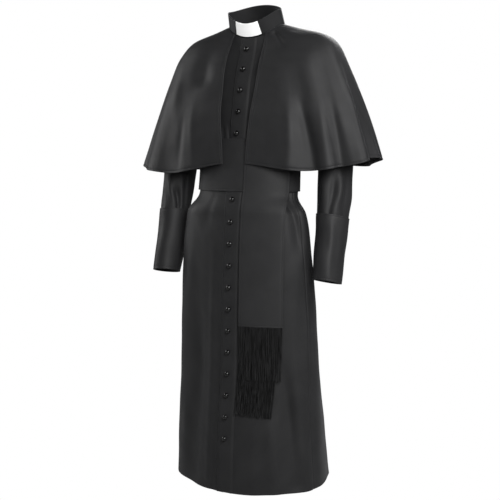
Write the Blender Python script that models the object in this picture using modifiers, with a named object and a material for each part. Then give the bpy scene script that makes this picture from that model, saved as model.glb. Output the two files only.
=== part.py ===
"""A clerical cassock filled out as if worn, in metres: the body with its button band and sash, the sleeves
with deep cuffs, the stand collar with its white tab, and the shoulder cape.

+X is the wearer's left, the garment faces -Y, and Z is up. The origin is where the shoulders carry it: on the
body's upright axis, level with the base of the collar at the side of the neck.
"""

import math

import bmesh
import bpy
import numpy as np
from mathutils import Matrix

# Walls and clearances
CLOTH = 0.002
GAP = 0.0004
COLLAR_WALL = 0.003
FRINGE_WALL = 0.005

# Closed rings round the body, top to bottom. Each has its height at the front, the side and the back.
BODY_COLUMNS = (
    "z_front", "z_side", "z_back", "half_width", "front_depth", "back_depth", "centre_y", "seam_deg"
)
BODY_RINGS = {
    "neck":         (-0.034, 0.003, 0.020, 0.0860, 0.046, 0.055, 0.030, 90.0),
    "shoulder":     (-0.074, -0.017, -0.020, 0.1330, 0.054, 0.074, 0.028, 90.0),
    "shoulder_tip": (-0.125, -0.052, -0.085, 0.1860, 0.070, 0.090, 0.026, 90.0),
    "chest":        (-0.172, -0.130, -0.150, 0.1880, 0.081, 0.098, 0.021, 90.0),
    "armpit":       (-0.228, -0.215, -0.220, 0.1800, 0.083, 0.098, 0.012, 90.0),
    "waist_top":    (-0.345, -0.345, -0.345, 0.1560, 0.081, 0.090, -0.010, 88.0),
    "waist_low":    (-0.484, -0.484, -0.484, 0.1580, 0.083, 0.092, -0.024, 80.0),
    "high_hip":     (-0.545, -0.545, -0.545, 0.1925, 0.0755, 0.112, -0.0435, 77.0),
    "hip":          (-0.620, -0.620, -0.620, 0.2050, 0.0860, 0.110, -0.040, 75.0),
    "thigh":        (-0.800, -0.800, -0.800, 0.2180, 0.1070, 0.122, -0.029, 73.0),
    "knee":         (-1.000, -1.000, -1.000, 0.2250, 0.1260, 0.138, -0.019, 72.0),
    "calf":         (-1.200, -1.200, -1.200, 0.2340, 0.1580, 0.165, -0.006, 72.0),
    "hem":          (-1.362, -1.352, -1.350, 0.2400, 0.1810, 0.188, 0.009, 72.0),
}

# Soft folds of the skirt: where round the body, how wide, how deep at the hem, and the height each starts at
SKIRT_FOLD_COLUMNS = ("angle_deg", "width_deg", "depth", "z_start")
SKIRT_FOLDS = (
    (-40.0, 11.0, -0.0060, -0.60),
    (-62.0, 12.0, 0.0050, -0.75),
    (38.0, 12.0, -0.0070, -0.95),
    (60.0, 10.0, 0.0060, -0.80),
    (100.0, 13.0, -0.0060, -0.70),
    (135.0, 15.0, 0.0070, -0.65),
    (172.0, 15.0, -0.0070, -0.75),
    (-148.0, 14.0, 0.0060, -0.70),
    (-108.0, 13.0, -0.0070, -0.60),
)

# The armhole is an oval on the body: its top and bottom rings and its half width round the body
ARMHOLE_TOP = 2.0
ARMHOLE_LOW = 4.0
ARMHOLE_HALF_DEG = 36.0

# Rings of a sleeve from the armhole to the cuff, for the wearer's left arm
SLEEVE_COLUMNS = ("x", "y", "z", "across", "deep", "tilt_deg", "lean_deg")
SLEEVE_RINGS = {
    "head":      (0.2185, 0.026, -0.149, 0.0700, 0.0600, 23.0, 0.0),
    "upper":     (0.2380, 0.027, -0.189, 0.0600, 0.0580, 46.0, 2.0),
    "biceps":    (0.2550, 0.030, -0.250, 0.0530, 0.0570, 74.0, 4.0),
    "elbow":     (0.2620, 0.030, -0.380, 0.0500, 0.0560, 88.0, 8.0),
    "forearm":   (0.2650, 0.014, -0.480, 0.0480, 0.0540, 92.0, 13.0),
    "cuff_seam": (0.2670, -0.004, -0.550, 0.0445, 0.0500, 93.0, 14.0),
    "wrist":     (0.2710, -0.054, -0.733, 0.0380, 0.0420, 93.0, 14.0),
}
SLEEVE_SWAY = 0.004

# Rings of the shoulder cape, collar seam to hem. dip lowers a ring between its front, side and back, drop
# beside its front edges. lift raises it at the wearer's left and lowers it at the right, and power squares
# its corners (2 is an ellipse).
CAPE_COLUMNS = (
    "z_front", "z_side", "z_back", "half_width", "front_depth", "back_depth", "centre_y", "dip", "drop",
    "lift", "power", "front_edge",
)
CAPE_RINGS = {
    "neck":     (-0.0325, 0.0055, 0.0225, 0.0885, 0.0490, 0.0575, 0.030, 0.000, 0.000, 0.000, 2.0, 0.050),
    "shoulder": (-0.0630, -0.0100, -0.0120, 0.1380, 0.0650, 0.0840, 0.030, 0.000, 0.000, 0.001, 2.2, 0.054),
    "slope":    (-0.0950, -0.0310, -0.0480, 0.2080, 0.0860, 0.1080, 0.032, 0.000, 0.000, 0.006, 2.4, 0.055),
    "tip":      (-0.1350, -0.0690, -0.0930, 0.2530, 0.1040, 0.1220, 0.034, 0.000, 0.000, 0.012, 2.5, 0.055),
    "upper":    (-0.1850, -0.1450, -0.1650, 0.2900, 0.1190, 0.1400, 0.036, 0.004, 0.000, 0.011, 2.5, 0.053),
    "elbow":    (-0.2590, -0.2500, -0.2550, 0.3310, 0.1460, 0.1600, 0.042, 0.010, 0.004, 0.010, 2.5, 0.048),
    "low":      (-0.3280, -0.3300, -0.3330, 0.3600, 0.1520, 0.1720, 0.042, 0.016, 0.010, 0.010, 2.5, 0.041),
    "hem":      (-0.3940, -0.3930, -0.3980, 0.3820, 0.1500, 0.1830, 0.037, 0.023, 0.015, 0.012, 2.5, 0.0365),
}

# The cape's flutes: where, how wide, how far out or in at the hem, and the ring each starts at
CAPE_FLUTE_COLUMNS = ("angle_deg", "width_deg", "depth", "first_ring")
CAPE_FLUTES = (
    (20.0, 6.0, 0.0080, 2.5),
    (34.0, 5.0, -0.0080, 3.0),
    (43.0, 5.0, 0.0080, 3.0),
    (53.5, 5.0, -0.0110, 3.0),
    (69.0, 7.0, 0.0140, 2.5),
    (86.0, 6.0, -0.0160, 3.0),
    (102.0, 7.0, 0.0060, 3.0),
    (120.0, 8.0, -0.0110, 3.0),
    (139.0, 8.0, 0.0120, 3.0),
    (157.0, 8.0, -0.0100, 3.0),
    (175.0, 8.0, 0.0120, 3.0),
    (-19.0, 7.0, 0.0060, 3.0),
    (-34.0, 7.0, -0.0050, 3.5),
    (-52.0, 8.0, 0.0070, 3.0),
    (-75.0, 7.0, 0.0060, 3.0),
    (-95.0, 7.0, -0.0110, 3.0),
    (-113.0, 8.0, 0.0120, 3.0),
    (-131.0, 8.0, -0.0110, 3.0),
    (-149.0, 8.0, 0.0110, 3.0),
    (-167.0, 7.0, -0.0090, 3.0),
)

# Stand collar and its tab, leaning forward with the neck; the tab's half angle at its base and rim
COLLAR_FRONT = 0.0365
COLLAR_BACK = 0.0465
COLLAR_LEAN = 0.016
COLLAR_INWARD = 0.004
COLLAR_LIFT = 0.0046
TAB_CENTRE_DEG = -2.5
TAB_LOW_DEG = 29.0
TAB_HIGH_DEG = 26.0

# Button band over the front edges, and the sash that goes over it
BAND_HALF = 0.026
BAND_OUT = CLOTH + GAP
SASH_OUT = BAND_OUT + CLOTH + GAP
SASH_TOP = -0.327
SASH_LOW = -0.480
TAIL_UNDER_OUT = SASH_OUT + CLOTH + 3 * GAP
TAIL_OVER_OUT = TAIL_UNDER_OUT + CLOTH + 3 * GAP

# The two tails: distance of the inner edge from the front centre (top and bottom), width, and rows of cloth
# and of fringe, each a TAIL_ROW deep
TAIL_TOP = -0.336
TAIL_ROW = 0.0532
TAIL_COLUMNS = ("edge_top", "edge_low", "width", "cloth_rows", "fringe_rows")
TAIL_OVER = (0.031, 0.036, 0.127, 10, 3)
TAIL_UNDER = (0.049, 0.026, 0.112, 12, 3)

# Ball buttons
BUTTON_RADIUS = 0.0075
BUTTON_FLAT = 0.80
UPPER_BUTTONS = (-0.068, -0.128, -0.188, -0.250, -0.3125)
LOWER_BUTTON_TOP = -0.504
LOWER_BUTTON_PITCH = 0.0633
LOWER_BUTTONS = 12

BLACK = (0.018, 0.018, 0.019)
WHITE = (0.86, 0.86, 0.85)


def spline(values, at):
    """Reads a table's rows as smooth curves: values is rows by columns, at is in rows from 0."""
    values = np.asarray(values, float)
    at = np.clip(np.asarray(at, float), 0.0, len(values) - 1.0)
    rise = np.diff(values, axis=0)
    slope = np.zeros_like(values)
    before, after = rise[:-1], rise[1:]
    total = before + after
    same = before * after > 0
    slope[1:-1] = np.where(same, 2 * before * after / np.where(same, total, 1.0), 0.0)
    slope[0], slope[-1] = rise[0], rise[-1]
    row = np.minimum(at.astype(int), len(values) - 2)
    t = (at - row)[..., None]
    h00, h10 = 2 * t**3 - 3 * t**2 + 1, t**3 - 2 * t**2 + t
    h01, h11 = 3 * t**2 - 2 * t**3, t**3 - t**2
    return h00 * values[row] + h10 * slope[row] + h01 * values[row + 1] + h11 * slope[row + 1]


def bump(offset, width):
    """A soft rise of height 1 that dies out at 1.6 widths to each side."""
    x = np.clip(np.abs(offset) / (1.6 * width), 0.0, 1.0)
    return (1.0 - x**2) ** 2


def turn(offset):
    """An angle in degrees brought to -180 to 180."""
    return (np.asarray(offset) + 180.0) % 360.0 - 180.0


def ring_point(ring, theta, power=2.0):
    """A point on a ring, from its first seven columns. theta is 0 in front and grows to the wearer's left."""
    z_front, z_side, z_back, width, front, back, centre_y = (ring[..., i] for i in range(7))
    ahead = np.cos(theta) > 0
    depth = np.where(ahead, front, back)
    z_end = np.where(ahead, z_front, z_back)
    z = z_side + (z_end - z_side) * np.cos(theta) ** 2
    x = width * np.sign(np.sin(theta)) * np.abs(np.sin(theta)) ** (2 / power)
    y = centre_y - depth * np.sign(np.cos(theta)) * np.abs(np.cos(theta)) ** (2 / power)
    return np.stack([x, y, z], -1)


def body_base(theta, level):
    theta, level = np.broadcast_arrays(theta, level)
    point = ring_point(spline(list(BODY_RINGS.values()), level), theta)
    push = np.zeros(theta.shape)
    for angle, width, depth, z_start in SKIRT_FOLDS:
        grown = np.clip((z_start - point[..., 2]) / (z_start + 1.35), 0.0, 1.0)
        push = push + depth * grown**0.8 * bump(turn(np.degrees(theta) - angle), width)
    point[..., 0] += push * np.sin(theta)
    point[..., 1] -= push * np.cos(theta)
    return point


def cape_base(theta, level):
    theta, level = np.broadcast_arrays(theta, level)
    ring = spline(list(CAPE_RINGS.values()), level)
    dip, drop, lift, power = (
        ring[..., CAPE_COLUMNS.index(name)] for name in ("dip", "drop", "lift", "power")
    )
    point = ring_point(ring, theta, power)
    point[..., 2] += lift * np.sin(theta) - dip * np.sin(2 * theta) ** 2
    point[..., 2] -= drop * bump(np.abs(turn(np.degrees(theta))) - 22.0, 18.0)
    push = np.zeros(theta.shape)
    last = len(CAPE_RINGS) - 1
    for angle, width, depth, first in CAPE_FLUTES:
        grown = np.clip((level - first) / (last - first), 0.0, 1.0)
        push = push + depth * grown * bump(turn(np.degrees(theta) - angle), width)
    point[..., 0] += push * np.sin(theta)
    point[..., 1] -= push * np.cos(theta)
    return point


def moved_out(base, theta, level, out):
    """The point of a surface at theta and level, moved out along the surface's normal."""
    theta, level = np.broadcast_arrays(np.asarray(theta, float), np.asarray(level, float))
    step = 0.004
    across = base(theta + step, level) - base(theta - step, level)
    down = base(theta, level + step) - base(theta, level - step)
    normal = np.cross(down, across)
    normal /= np.linalg.norm(normal, axis=-1, keepdims=True)
    return base(theta, level) + normal * np.asarray(out)[..., None]


def speed(base, theta, level):
    """Metres along a ring for each radian of theta."""
    step = 0.01
    return np.linalg.norm(base(theta + step, level) - base(theta - step, level), axis=-1) / (2 * step)


def level_at(z, theta=0.0):
    """The body's level at a height, read down its front or at another angle."""
    levels = np.linspace(0, len(BODY_RINGS) - 1, 1101)
    heights = body_base(np.full(levels.shape, theta), levels)[:, 2]
    return np.interp(-np.asarray(z, float), -heights, levels)


def armhole_half(level):
    """Half the armhole's width round the body, in radians, at a level."""
    middle = (ARMHOLE_TOP + ARMHOLE_LOW) / 2
    half = (ARMHOLE_LOW - ARMHOLE_TOP) / 2
    inside = np.clip(1 - ((level - middle) / half) ** 2, 0.0, None)
    return np.radians(ARMHOLE_HALF_DEG) * np.sqrt(inside)


def seam_angle(level):
    return np.radians(spline(list(BODY_RINGS.values()), level)[..., BODY_COLUMNS.index("seam_deg")])


def body_levels():
    """The rows of the body's panels: shoulder, armhole, flank, behind the sash and down the skirt."""
    middle = (ARMHOLE_TOP + ARMHOLE_LOW) / 2
    half = (ARMHOLE_LOW - ARMHOLE_TOP) / 2
    shoulder = np.linspace(0.0, ARMHOLE_TOP, 4)[:-1]
    armhole = middle - half * np.cos(np.linspace(0, np.pi, 9))
    sash = sash_rows()
    flank = np.linspace(ARMHOLE_LOW, sash[0], 4)[1:-1]
    skirt = np.linspace(sash[-1], len(BODY_RINGS) - 1, 11)[1:]
    return np.concatenate([shoulder, armhole, flank, sash, skirt])


def sash_rows():
    return np.linspace(level_at(SASH_TOP), level_at(SASH_LOW), 4)


def grid_faces(rows, columns, closed=False):
    faces = []
    for r in range(rows - 1):
        for c in range(columns if closed else columns - 1):
            a, b = r * columns + c, r * columns + (c + 1) % columns
            faces.append((a, a + columns, b + columns, b))
    return faces


def cloth(name, points, wall, material, closed=False):
    """An open sheet through a grid of points, thickened outwards by its wall."""
    rows, columns = points.shape[:2]
    mesh = bpy.data.meshes.new(name)
    mesh.from_pydata(points.reshape(-1, 3).tolist(), [], grid_faces(rows, columns, closed))
    piece = bpy.data.objects.new(name, mesh)
    parts.objects.link(piece)
    piece.data.materials.append(material)
    mesh.shade_smooth()
    thick = piece.modifiers.new("wall", "SOLIDIFY")
    thick.thickness = wall
    thick.offset = 1.0
    return piece


def dyed(name, colour, roughness, metallic=0.0):
    made = bpy.data.materials.new(name)
    made.use_nodes = True
    shader = made.node_tree.nodes["Principled BSDF"]
    shader.inputs["Base Color"].default_value = (*colour, 1.0)
    shader.inputs["Roughness"].default_value = roughness
    shader.inputs["Metallic"].default_value = metallic
    made.diffuse_color = (*colour, 1.0)
    return made


for old in list(bpy.data.objects):
    bpy.data.objects.remove(old, do_unlink=True)
parts = bpy.data.collections.new("cassock")
bpy.context.scene.collection.children.link(parts)

# Body panels: two fronts and a back, from the neck seam to the hem
levels = body_levels()
inner_edge = (GAP / 2) / speed(body_base, np.zeros(levels.shape), levels)
seam = seam_angle(levels)
seam_slack = (GAP / 2) / speed(body_base, seam, levels)
arm = armhole_half(levels)
front_edge = seam - np.maximum(arm, seam_slack)
back_edge = seam + np.maximum(arm, seam_slack)

for side, name in ((1, "front_left"), (-1, "front_right")):
    share = np.linspace(0, 1, 9)[None, :]
    theta = inner_edge[:, None] + (front_edge - inner_edge)[:, None] * share
    theta = theta if side > 0 else -theta[:, ::-1]
    points = body_base(theta, np.broadcast_to(levels[:, None], theta.shape))
    cloth(name, points, CLOTH, dyed("cloth_" + name, BLACK, 0.55))

share = np.linspace(0, 1, 17)[None, :]
theta = back_edge[:, None] + (2 * math.pi - 2 * back_edge)[:, None] * share
points = body_base(theta, np.broadcast_to(levels[:, None], theta.shape))
cloth("back", points, CLOTH, dyed("cloth_back", BLACK, 0.55))

# Button band: a strip lying over both front edges, neck to hem
band_levels = levels.copy()
band_levels[0], band_levels[-1] = 0.03, len(BODY_RINGS) - 1.02
half_angle = BAND_HALF / speed(body_base, np.zeros(band_levels.shape), band_levels)
theta = half_angle[:, None] * np.linspace(-1, 1, 3)[None, :]
points = moved_out(body_base, theta, np.broadcast_to(band_levels[:, None], theta.shape), BAND_OUT)
cloth("button_band", points, CLOTH, dyed("cloth_button_band", BLACK, 0.55))


# Sleeves: the armhole's oval, drawn in a little, then rings that fan round the underarm to the cuff
def armhole_ring(phi, drawn_in):
    """The sleeve's first ring: phi is 0 at the front of the armhole and 90 degrees at its top."""
    middle = (ARMHOLE_TOP + ARMHOLE_LOW) / 2
    half = (ARMHOLE_LOW - ARMHOLE_TOP) / 2
    level = middle - half * np.sin(phi)
    theta = math.pi / 2 - np.radians(ARMHOLE_HALF_DEG) * np.cos(phi)
    rim = body_base(theta, level)
    centre = rim.mean(axis=0)
    inward = centre - rim
    inward /= np.linalg.norm(inward, axis=1, keepdims=True)
    return rim + inward * drawn_in


def sleeve_ring(phi, level, wider=0.0):
    x, y, z, across, deep, tilt, lean = np.moveaxis(spline(list(SLEEVE_RINGS.values()), level), -1, 0)
    tilt, lean = np.radians(tilt), np.radians(lean)
    outward = np.array([np.sin(tilt), 0.0, np.cos(tilt)])
    forward = np.array([0.0, -np.cos(lean), np.sin(lean)])
    ring = np.outer(np.cos(phi) * (deep + wider), forward) + np.outer(np.sin(phi) * (across + wider), outward)
    return ring + np.array([x, y, z])


def sided(points, side):
    """The wearer's left piece, or its mirror image turned to face out. Both sway a little to the right."""
    points = points * np.array([side, 1.0, 1.0])
    points[..., 0] -= SLEEVE_SWAY * bump(points[..., 2] + 0.40, 0.16)
    return points if side > 0 else points[:, ::-1]


SLEEVE_TURNS = 16
CUFF_LEVEL = 5.0
phi = np.linspace(0, 2 * math.pi, SLEEVE_TURNS, endpoint=False)
rows = [armhole_ring(phi, CLOTH + 3 * GAP)]
rows += [sleeve_ring(phi, level) for level in np.linspace(0, CUFF_LEVEL + 0.08, 9)]
tube = np.array(rows)[:, ::-1]
rows = [sleeve_ring(phi, level, CLOTH + 3 * GAP) for level in np.linspace(CUFF_LEVEL, 6.0, 4)]
cuff = np.array(rows)[:, ::-1]
for side, name in ((1, "left"), (-1, "right")):
    cloth("sleeve_" + name, sided(tube, side), CLOTH, dyed("cloth_sleeve_" + name, BLACK, 0.55), closed=True)
    cloth("cuff_" + name, sided(cuff, side), CLOTH, dyed("cloth_cuff_" + name, BLACK, 0.5), closed=True)

# Shoulder cape: one piece from the collar seam to its hem, open down the front
cape_levels = np.linspace(0, len(CAPE_RINGS) - 1, 11)
cape_ring = spline(list(CAPE_RINGS.values()), cape_levels)
width, power, edge = (
    cape_ring[:, CAPE_COLUMNS.index(name)] for name in ("half_width", "power", "front_edge")
)
open_at = np.arcsin((edge / width) ** (power / 2))
share = np.linspace(0, 1, 53)[None, :]
theta = open_at[:, None] + (2 * math.pi - 2 * open_at)[:, None] * share
points = cape_base(theta, np.broadcast_to(cape_levels[:, None], theta.shape))
cloth("cape", points, CLOTH, dyed("cloth_cape", BLACK, 0.5))


# Stand collar, and the white tab between its ends
def collar_point(theta, share, inward=0.0):
    """A point on the collar: share is 0 at its base and 1 at its rim."""
    base = body_base(theta, np.zeros(theta.shape))
    ahead = (1 + np.cos(theta)) / 2
    height = COLLAR_BACK + (COLLAR_FRONT - COLLAR_BACK) * ahead
    draw = COLLAR_INWARD * share + inward
    base[..., 0] -= draw * np.sin(theta)
    base[..., 1] += inward * np.cos(theta) - COLLAR_LEAN * share
    base[..., 2] += COLLAR_LIFT + height * share
    return base


share = np.linspace(1, 0, 3)[:, None]
middle = math.radians(TAB_CENTRE_DEG)
half = np.radians(TAB_LOW_DEG + (TAB_HIGH_DEG - TAB_LOW_DEG) * share)
end = half + 2 * GAP / 0.08
theta = middle + end + (2 * math.pi - 2 * end) * np.linspace(0, 1, 29)[None, :]
points = collar_point(theta, np.broadcast_to(share, theta.shape))
cloth("collar", points, COLLAR_WALL, dyed("cloth_collar", BLACK, 0.5))
theta = middle + half * np.linspace(-1, 1, 7)[None, :]
points = collar_point(theta, np.broadcast_to(share, theta.shape), 0.0004)
cloth("collar_tab", points, COLLAR_WALL, dyed("white_tab", WHITE, 0.45))

# Sash: a wide band round the waist
sash_levels = sash_rows()
theta = np.linspace(0, 2 * math.pi, 32, endpoint=False)[None, :] + np.zeros((4, 1))
points = moved_out(body_base, theta, np.broadcast_to(sash_levels[:, None], theta.shape), SASH_OUT)
cloth("sash_band", points, CLOTH, dyed("cloth_sash_band", BLACK, 0.5), closed=True)


def tail_grid(tail, out, first, last, columns=7):
    """Points of a hanging tail between two of its rows, placed by distance along the body from the front."""
    edge_top, edge_low, width, cloth_rows, fringe_rows = tail
    turns = np.linspace(0, math.pi / 2 + 0.6, 200)
    grid = []
    for row in range(first, last + 1):
        level = np.full(turns.shape, float(level_at(TAIL_TOP - TAIL_ROW * row)))
        line = moved_out(body_base, turns, level, out)
        length = np.concatenate([[0], np.cumsum(np.linalg.norm(np.diff(line, axis=0), axis=1))])
        down = row / (cloth_rows + fringe_rows)
        edge = edge_top + (edge_low - edge_top) * down**2
        at = np.interp(edge + width * np.linspace(0, 1, columns), length, turns)
        grid.append(moved_out(body_base, at, np.full(at.shape, level[0]), out))
    return np.array(grid)


# Sash tails with their fringes, the long one under the short one
for name, tail, out in (("over", TAIL_OVER, TAIL_OVER_OUT), ("under", TAIL_UNDER, TAIL_UNDER_OUT)):
    cloth_rows, fringe_rows = tail[3:]
    points = tail_grid(tail, out, 0, cloth_rows)
    cloth("sash_tail_" + name, points, CLOTH, dyed("cloth_tail_" + name, BLACK, 0.5))
    points = tail_grid(tail, out, cloth_rows, cloth_rows + fringe_rows)
    points[0, :, 2] -= GAP
    wall = FRINGE_WALL if name == "over" else CLOTH
    cloth("fringe_" + name, points, wall, dyed("fringe_black_" + name, (0.01, 0.01, 0.01), 0.7))

# Ball buttons down the band, each a flattened ball just clear of the cloth
heights = list(UPPER_BUTTONS) + [LOWER_BUTTON_TOP - LOWER_BUTTON_PITCH * i for i in range(LOWER_BUTTONS)]
for number, z in enumerate(heights, 1):
    level = float(level_at(z))
    seat = moved_out(body_base, 0.0, level, BAND_OUT + CLOTH + 3 * GAP + BUTTON_RADIUS * BUTTON_FLAT)
    above = moved_out(body_base, 0.0, level, 0.0)
    facing = (seat - above) / np.linalg.norm(seat - above)
    name = f"button_{number:02d}"
    shape = bmesh.new()
    bmesh.ops.create_uvsphere(shape, u_segments=14, v_segments=9, radius=BUTTON_RADIUS)
    bmesh.ops.scale(shape, vec=(1.0, 1.0, BUTTON_FLAT), verts=shape.verts)
    tilt = math.atan2(-facing[1], facing[2])
    bmesh.ops.rotate(shape, matrix=Matrix.Rotation(tilt, 3, "X"), verts=shape.verts)
    bmesh.ops.translate(shape, vec=seat.tolist(), verts=shape.verts)
    mesh = bpy.data.meshes.new(name)
    shape.to_mesh(mesh)
    shape.free()
    mesh.shade_smooth()
    button = bpy.data.objects.new(name, mesh)
    button.data.materials.append(dyed("gloss_" + name, (0.008, 0.008, 0.008), 0.12))
    parts.objects.link(button)
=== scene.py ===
import math

import bpy
import numpy as np
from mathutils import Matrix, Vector


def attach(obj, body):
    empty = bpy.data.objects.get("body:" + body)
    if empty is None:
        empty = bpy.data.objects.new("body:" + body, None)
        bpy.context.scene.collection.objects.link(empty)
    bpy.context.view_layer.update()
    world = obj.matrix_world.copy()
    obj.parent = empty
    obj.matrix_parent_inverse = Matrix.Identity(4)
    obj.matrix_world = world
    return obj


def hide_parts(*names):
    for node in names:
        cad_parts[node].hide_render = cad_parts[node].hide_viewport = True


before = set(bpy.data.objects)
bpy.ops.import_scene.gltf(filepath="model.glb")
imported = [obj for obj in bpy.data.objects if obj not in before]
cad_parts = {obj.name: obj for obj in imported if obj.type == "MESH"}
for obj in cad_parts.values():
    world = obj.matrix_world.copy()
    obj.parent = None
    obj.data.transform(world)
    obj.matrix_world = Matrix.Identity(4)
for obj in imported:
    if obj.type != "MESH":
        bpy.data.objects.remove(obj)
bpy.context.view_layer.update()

# ---------------------------------------------------------------------------------------------------------
# Body: two fronts and a back of black polyester satin twill, cut in one from neck to hem and joined at the
# shoulders and down the sides. The side seams are set well forward, and the skirt widens to its hem.
# ---------------------------------------------------------------------------------------------------------
# The cloth's own thickness, the room that each layer takes, and the space between layers
WALL = 0.0015
BODY_WALL = 0.002
GAP = 0.0004
# Distances from an edge at which a piece has its own columns, so that the edge, seam and stitching are crisp
EDGE_STEPS = np.array([0.0, 0.0011, 0.0024, 0.0040, 0.0056, 0.0072, 0.0105])

# z_front, z_side, z_back, half_width, front_depth, back_depth, centre_y, seam_deg
BODY_RINGS = {
    "neck":         (-0.034, 0.003, 0.020, 0.0860, 0.046, 0.055, 0.030, 90.0),
    "shoulder":     (-0.074, -0.017, -0.020, 0.1330, 0.054, 0.074, 0.028, 90.0),
    "shoulder_tip": (-0.125, -0.052, -0.085, 0.1860, 0.070, 0.090, 0.026, 90.0),
    "chest":        (-0.172, -0.130, -0.150, 0.1880, 0.081, 0.098, 0.021, 90.0),
    "armpit":       (-0.228, -0.215, -0.220, 0.1800, 0.083, 0.098, 0.012, 90.0),
    "waist_top":    (-0.345, -0.345, -0.345, 0.1560, 0.081, 0.090, -0.010, 88.0),
    "waist_low":    (-0.484, -0.484, -0.484, 0.1580, 0.083, 0.092, -0.024, 80.0),
    "high_hip":     (-0.545, -0.545, -0.545, 0.1925, 0.0755, 0.112, -0.0435, 77.0),
    "hip":          (-0.620, -0.620, -0.620, 0.2050, 0.0860, 0.110, -0.040, 75.0),
    "thigh":        (-0.800, -0.800, -0.800, 0.2180, 0.1070, 0.122, -0.029, 73.0),
    "knee":         (-1.000, -1.000, -1.000, 0.2250, 0.1260, 0.138, -0.019, 72.0),
    "calf":         (-1.200, -1.200, -1.200, 0.2340, 0.1580, 0.165, -0.006, 72.0),
    "hem":          (-1.362, -1.352, -1.350, 0.2400, 0.1810, 0.188, 0.009, 72.0),
}
BODY_LAST = len(BODY_RINGS) - 1
SEAM_COLUMN = 7
SKIRT_HEM = 0.024
# Levels in the rings above, and half the armhole's width round the body
ARMHOLE_TOP, ARMHOLE_LOW, ARMHOLE_HALF_DEG = 2.0, 4.0, 36.0

# Long soft folds that grow towards the hem: angle_deg, width_deg, depth, z_start
SKIRT_FOLDS = (
    (-40.0, 11.0, -0.0060, -0.60),
    (-62.0, 12.0, 0.0050, -0.75),
    (38.0, 12.0, -0.0070, -0.95),
    (60.0, 10.0, 0.0060, -0.80),
    (100.0, 13.0, -0.0060, -0.70),
    (135.0, 15.0, 0.0070, -0.65),
    (172.0, 15.0, -0.0070, -0.75),
    (-148.0, 14.0, 0.0060, -0.70),
    (-108.0, 13.0, -0.0070, -0.60),
)

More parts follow.
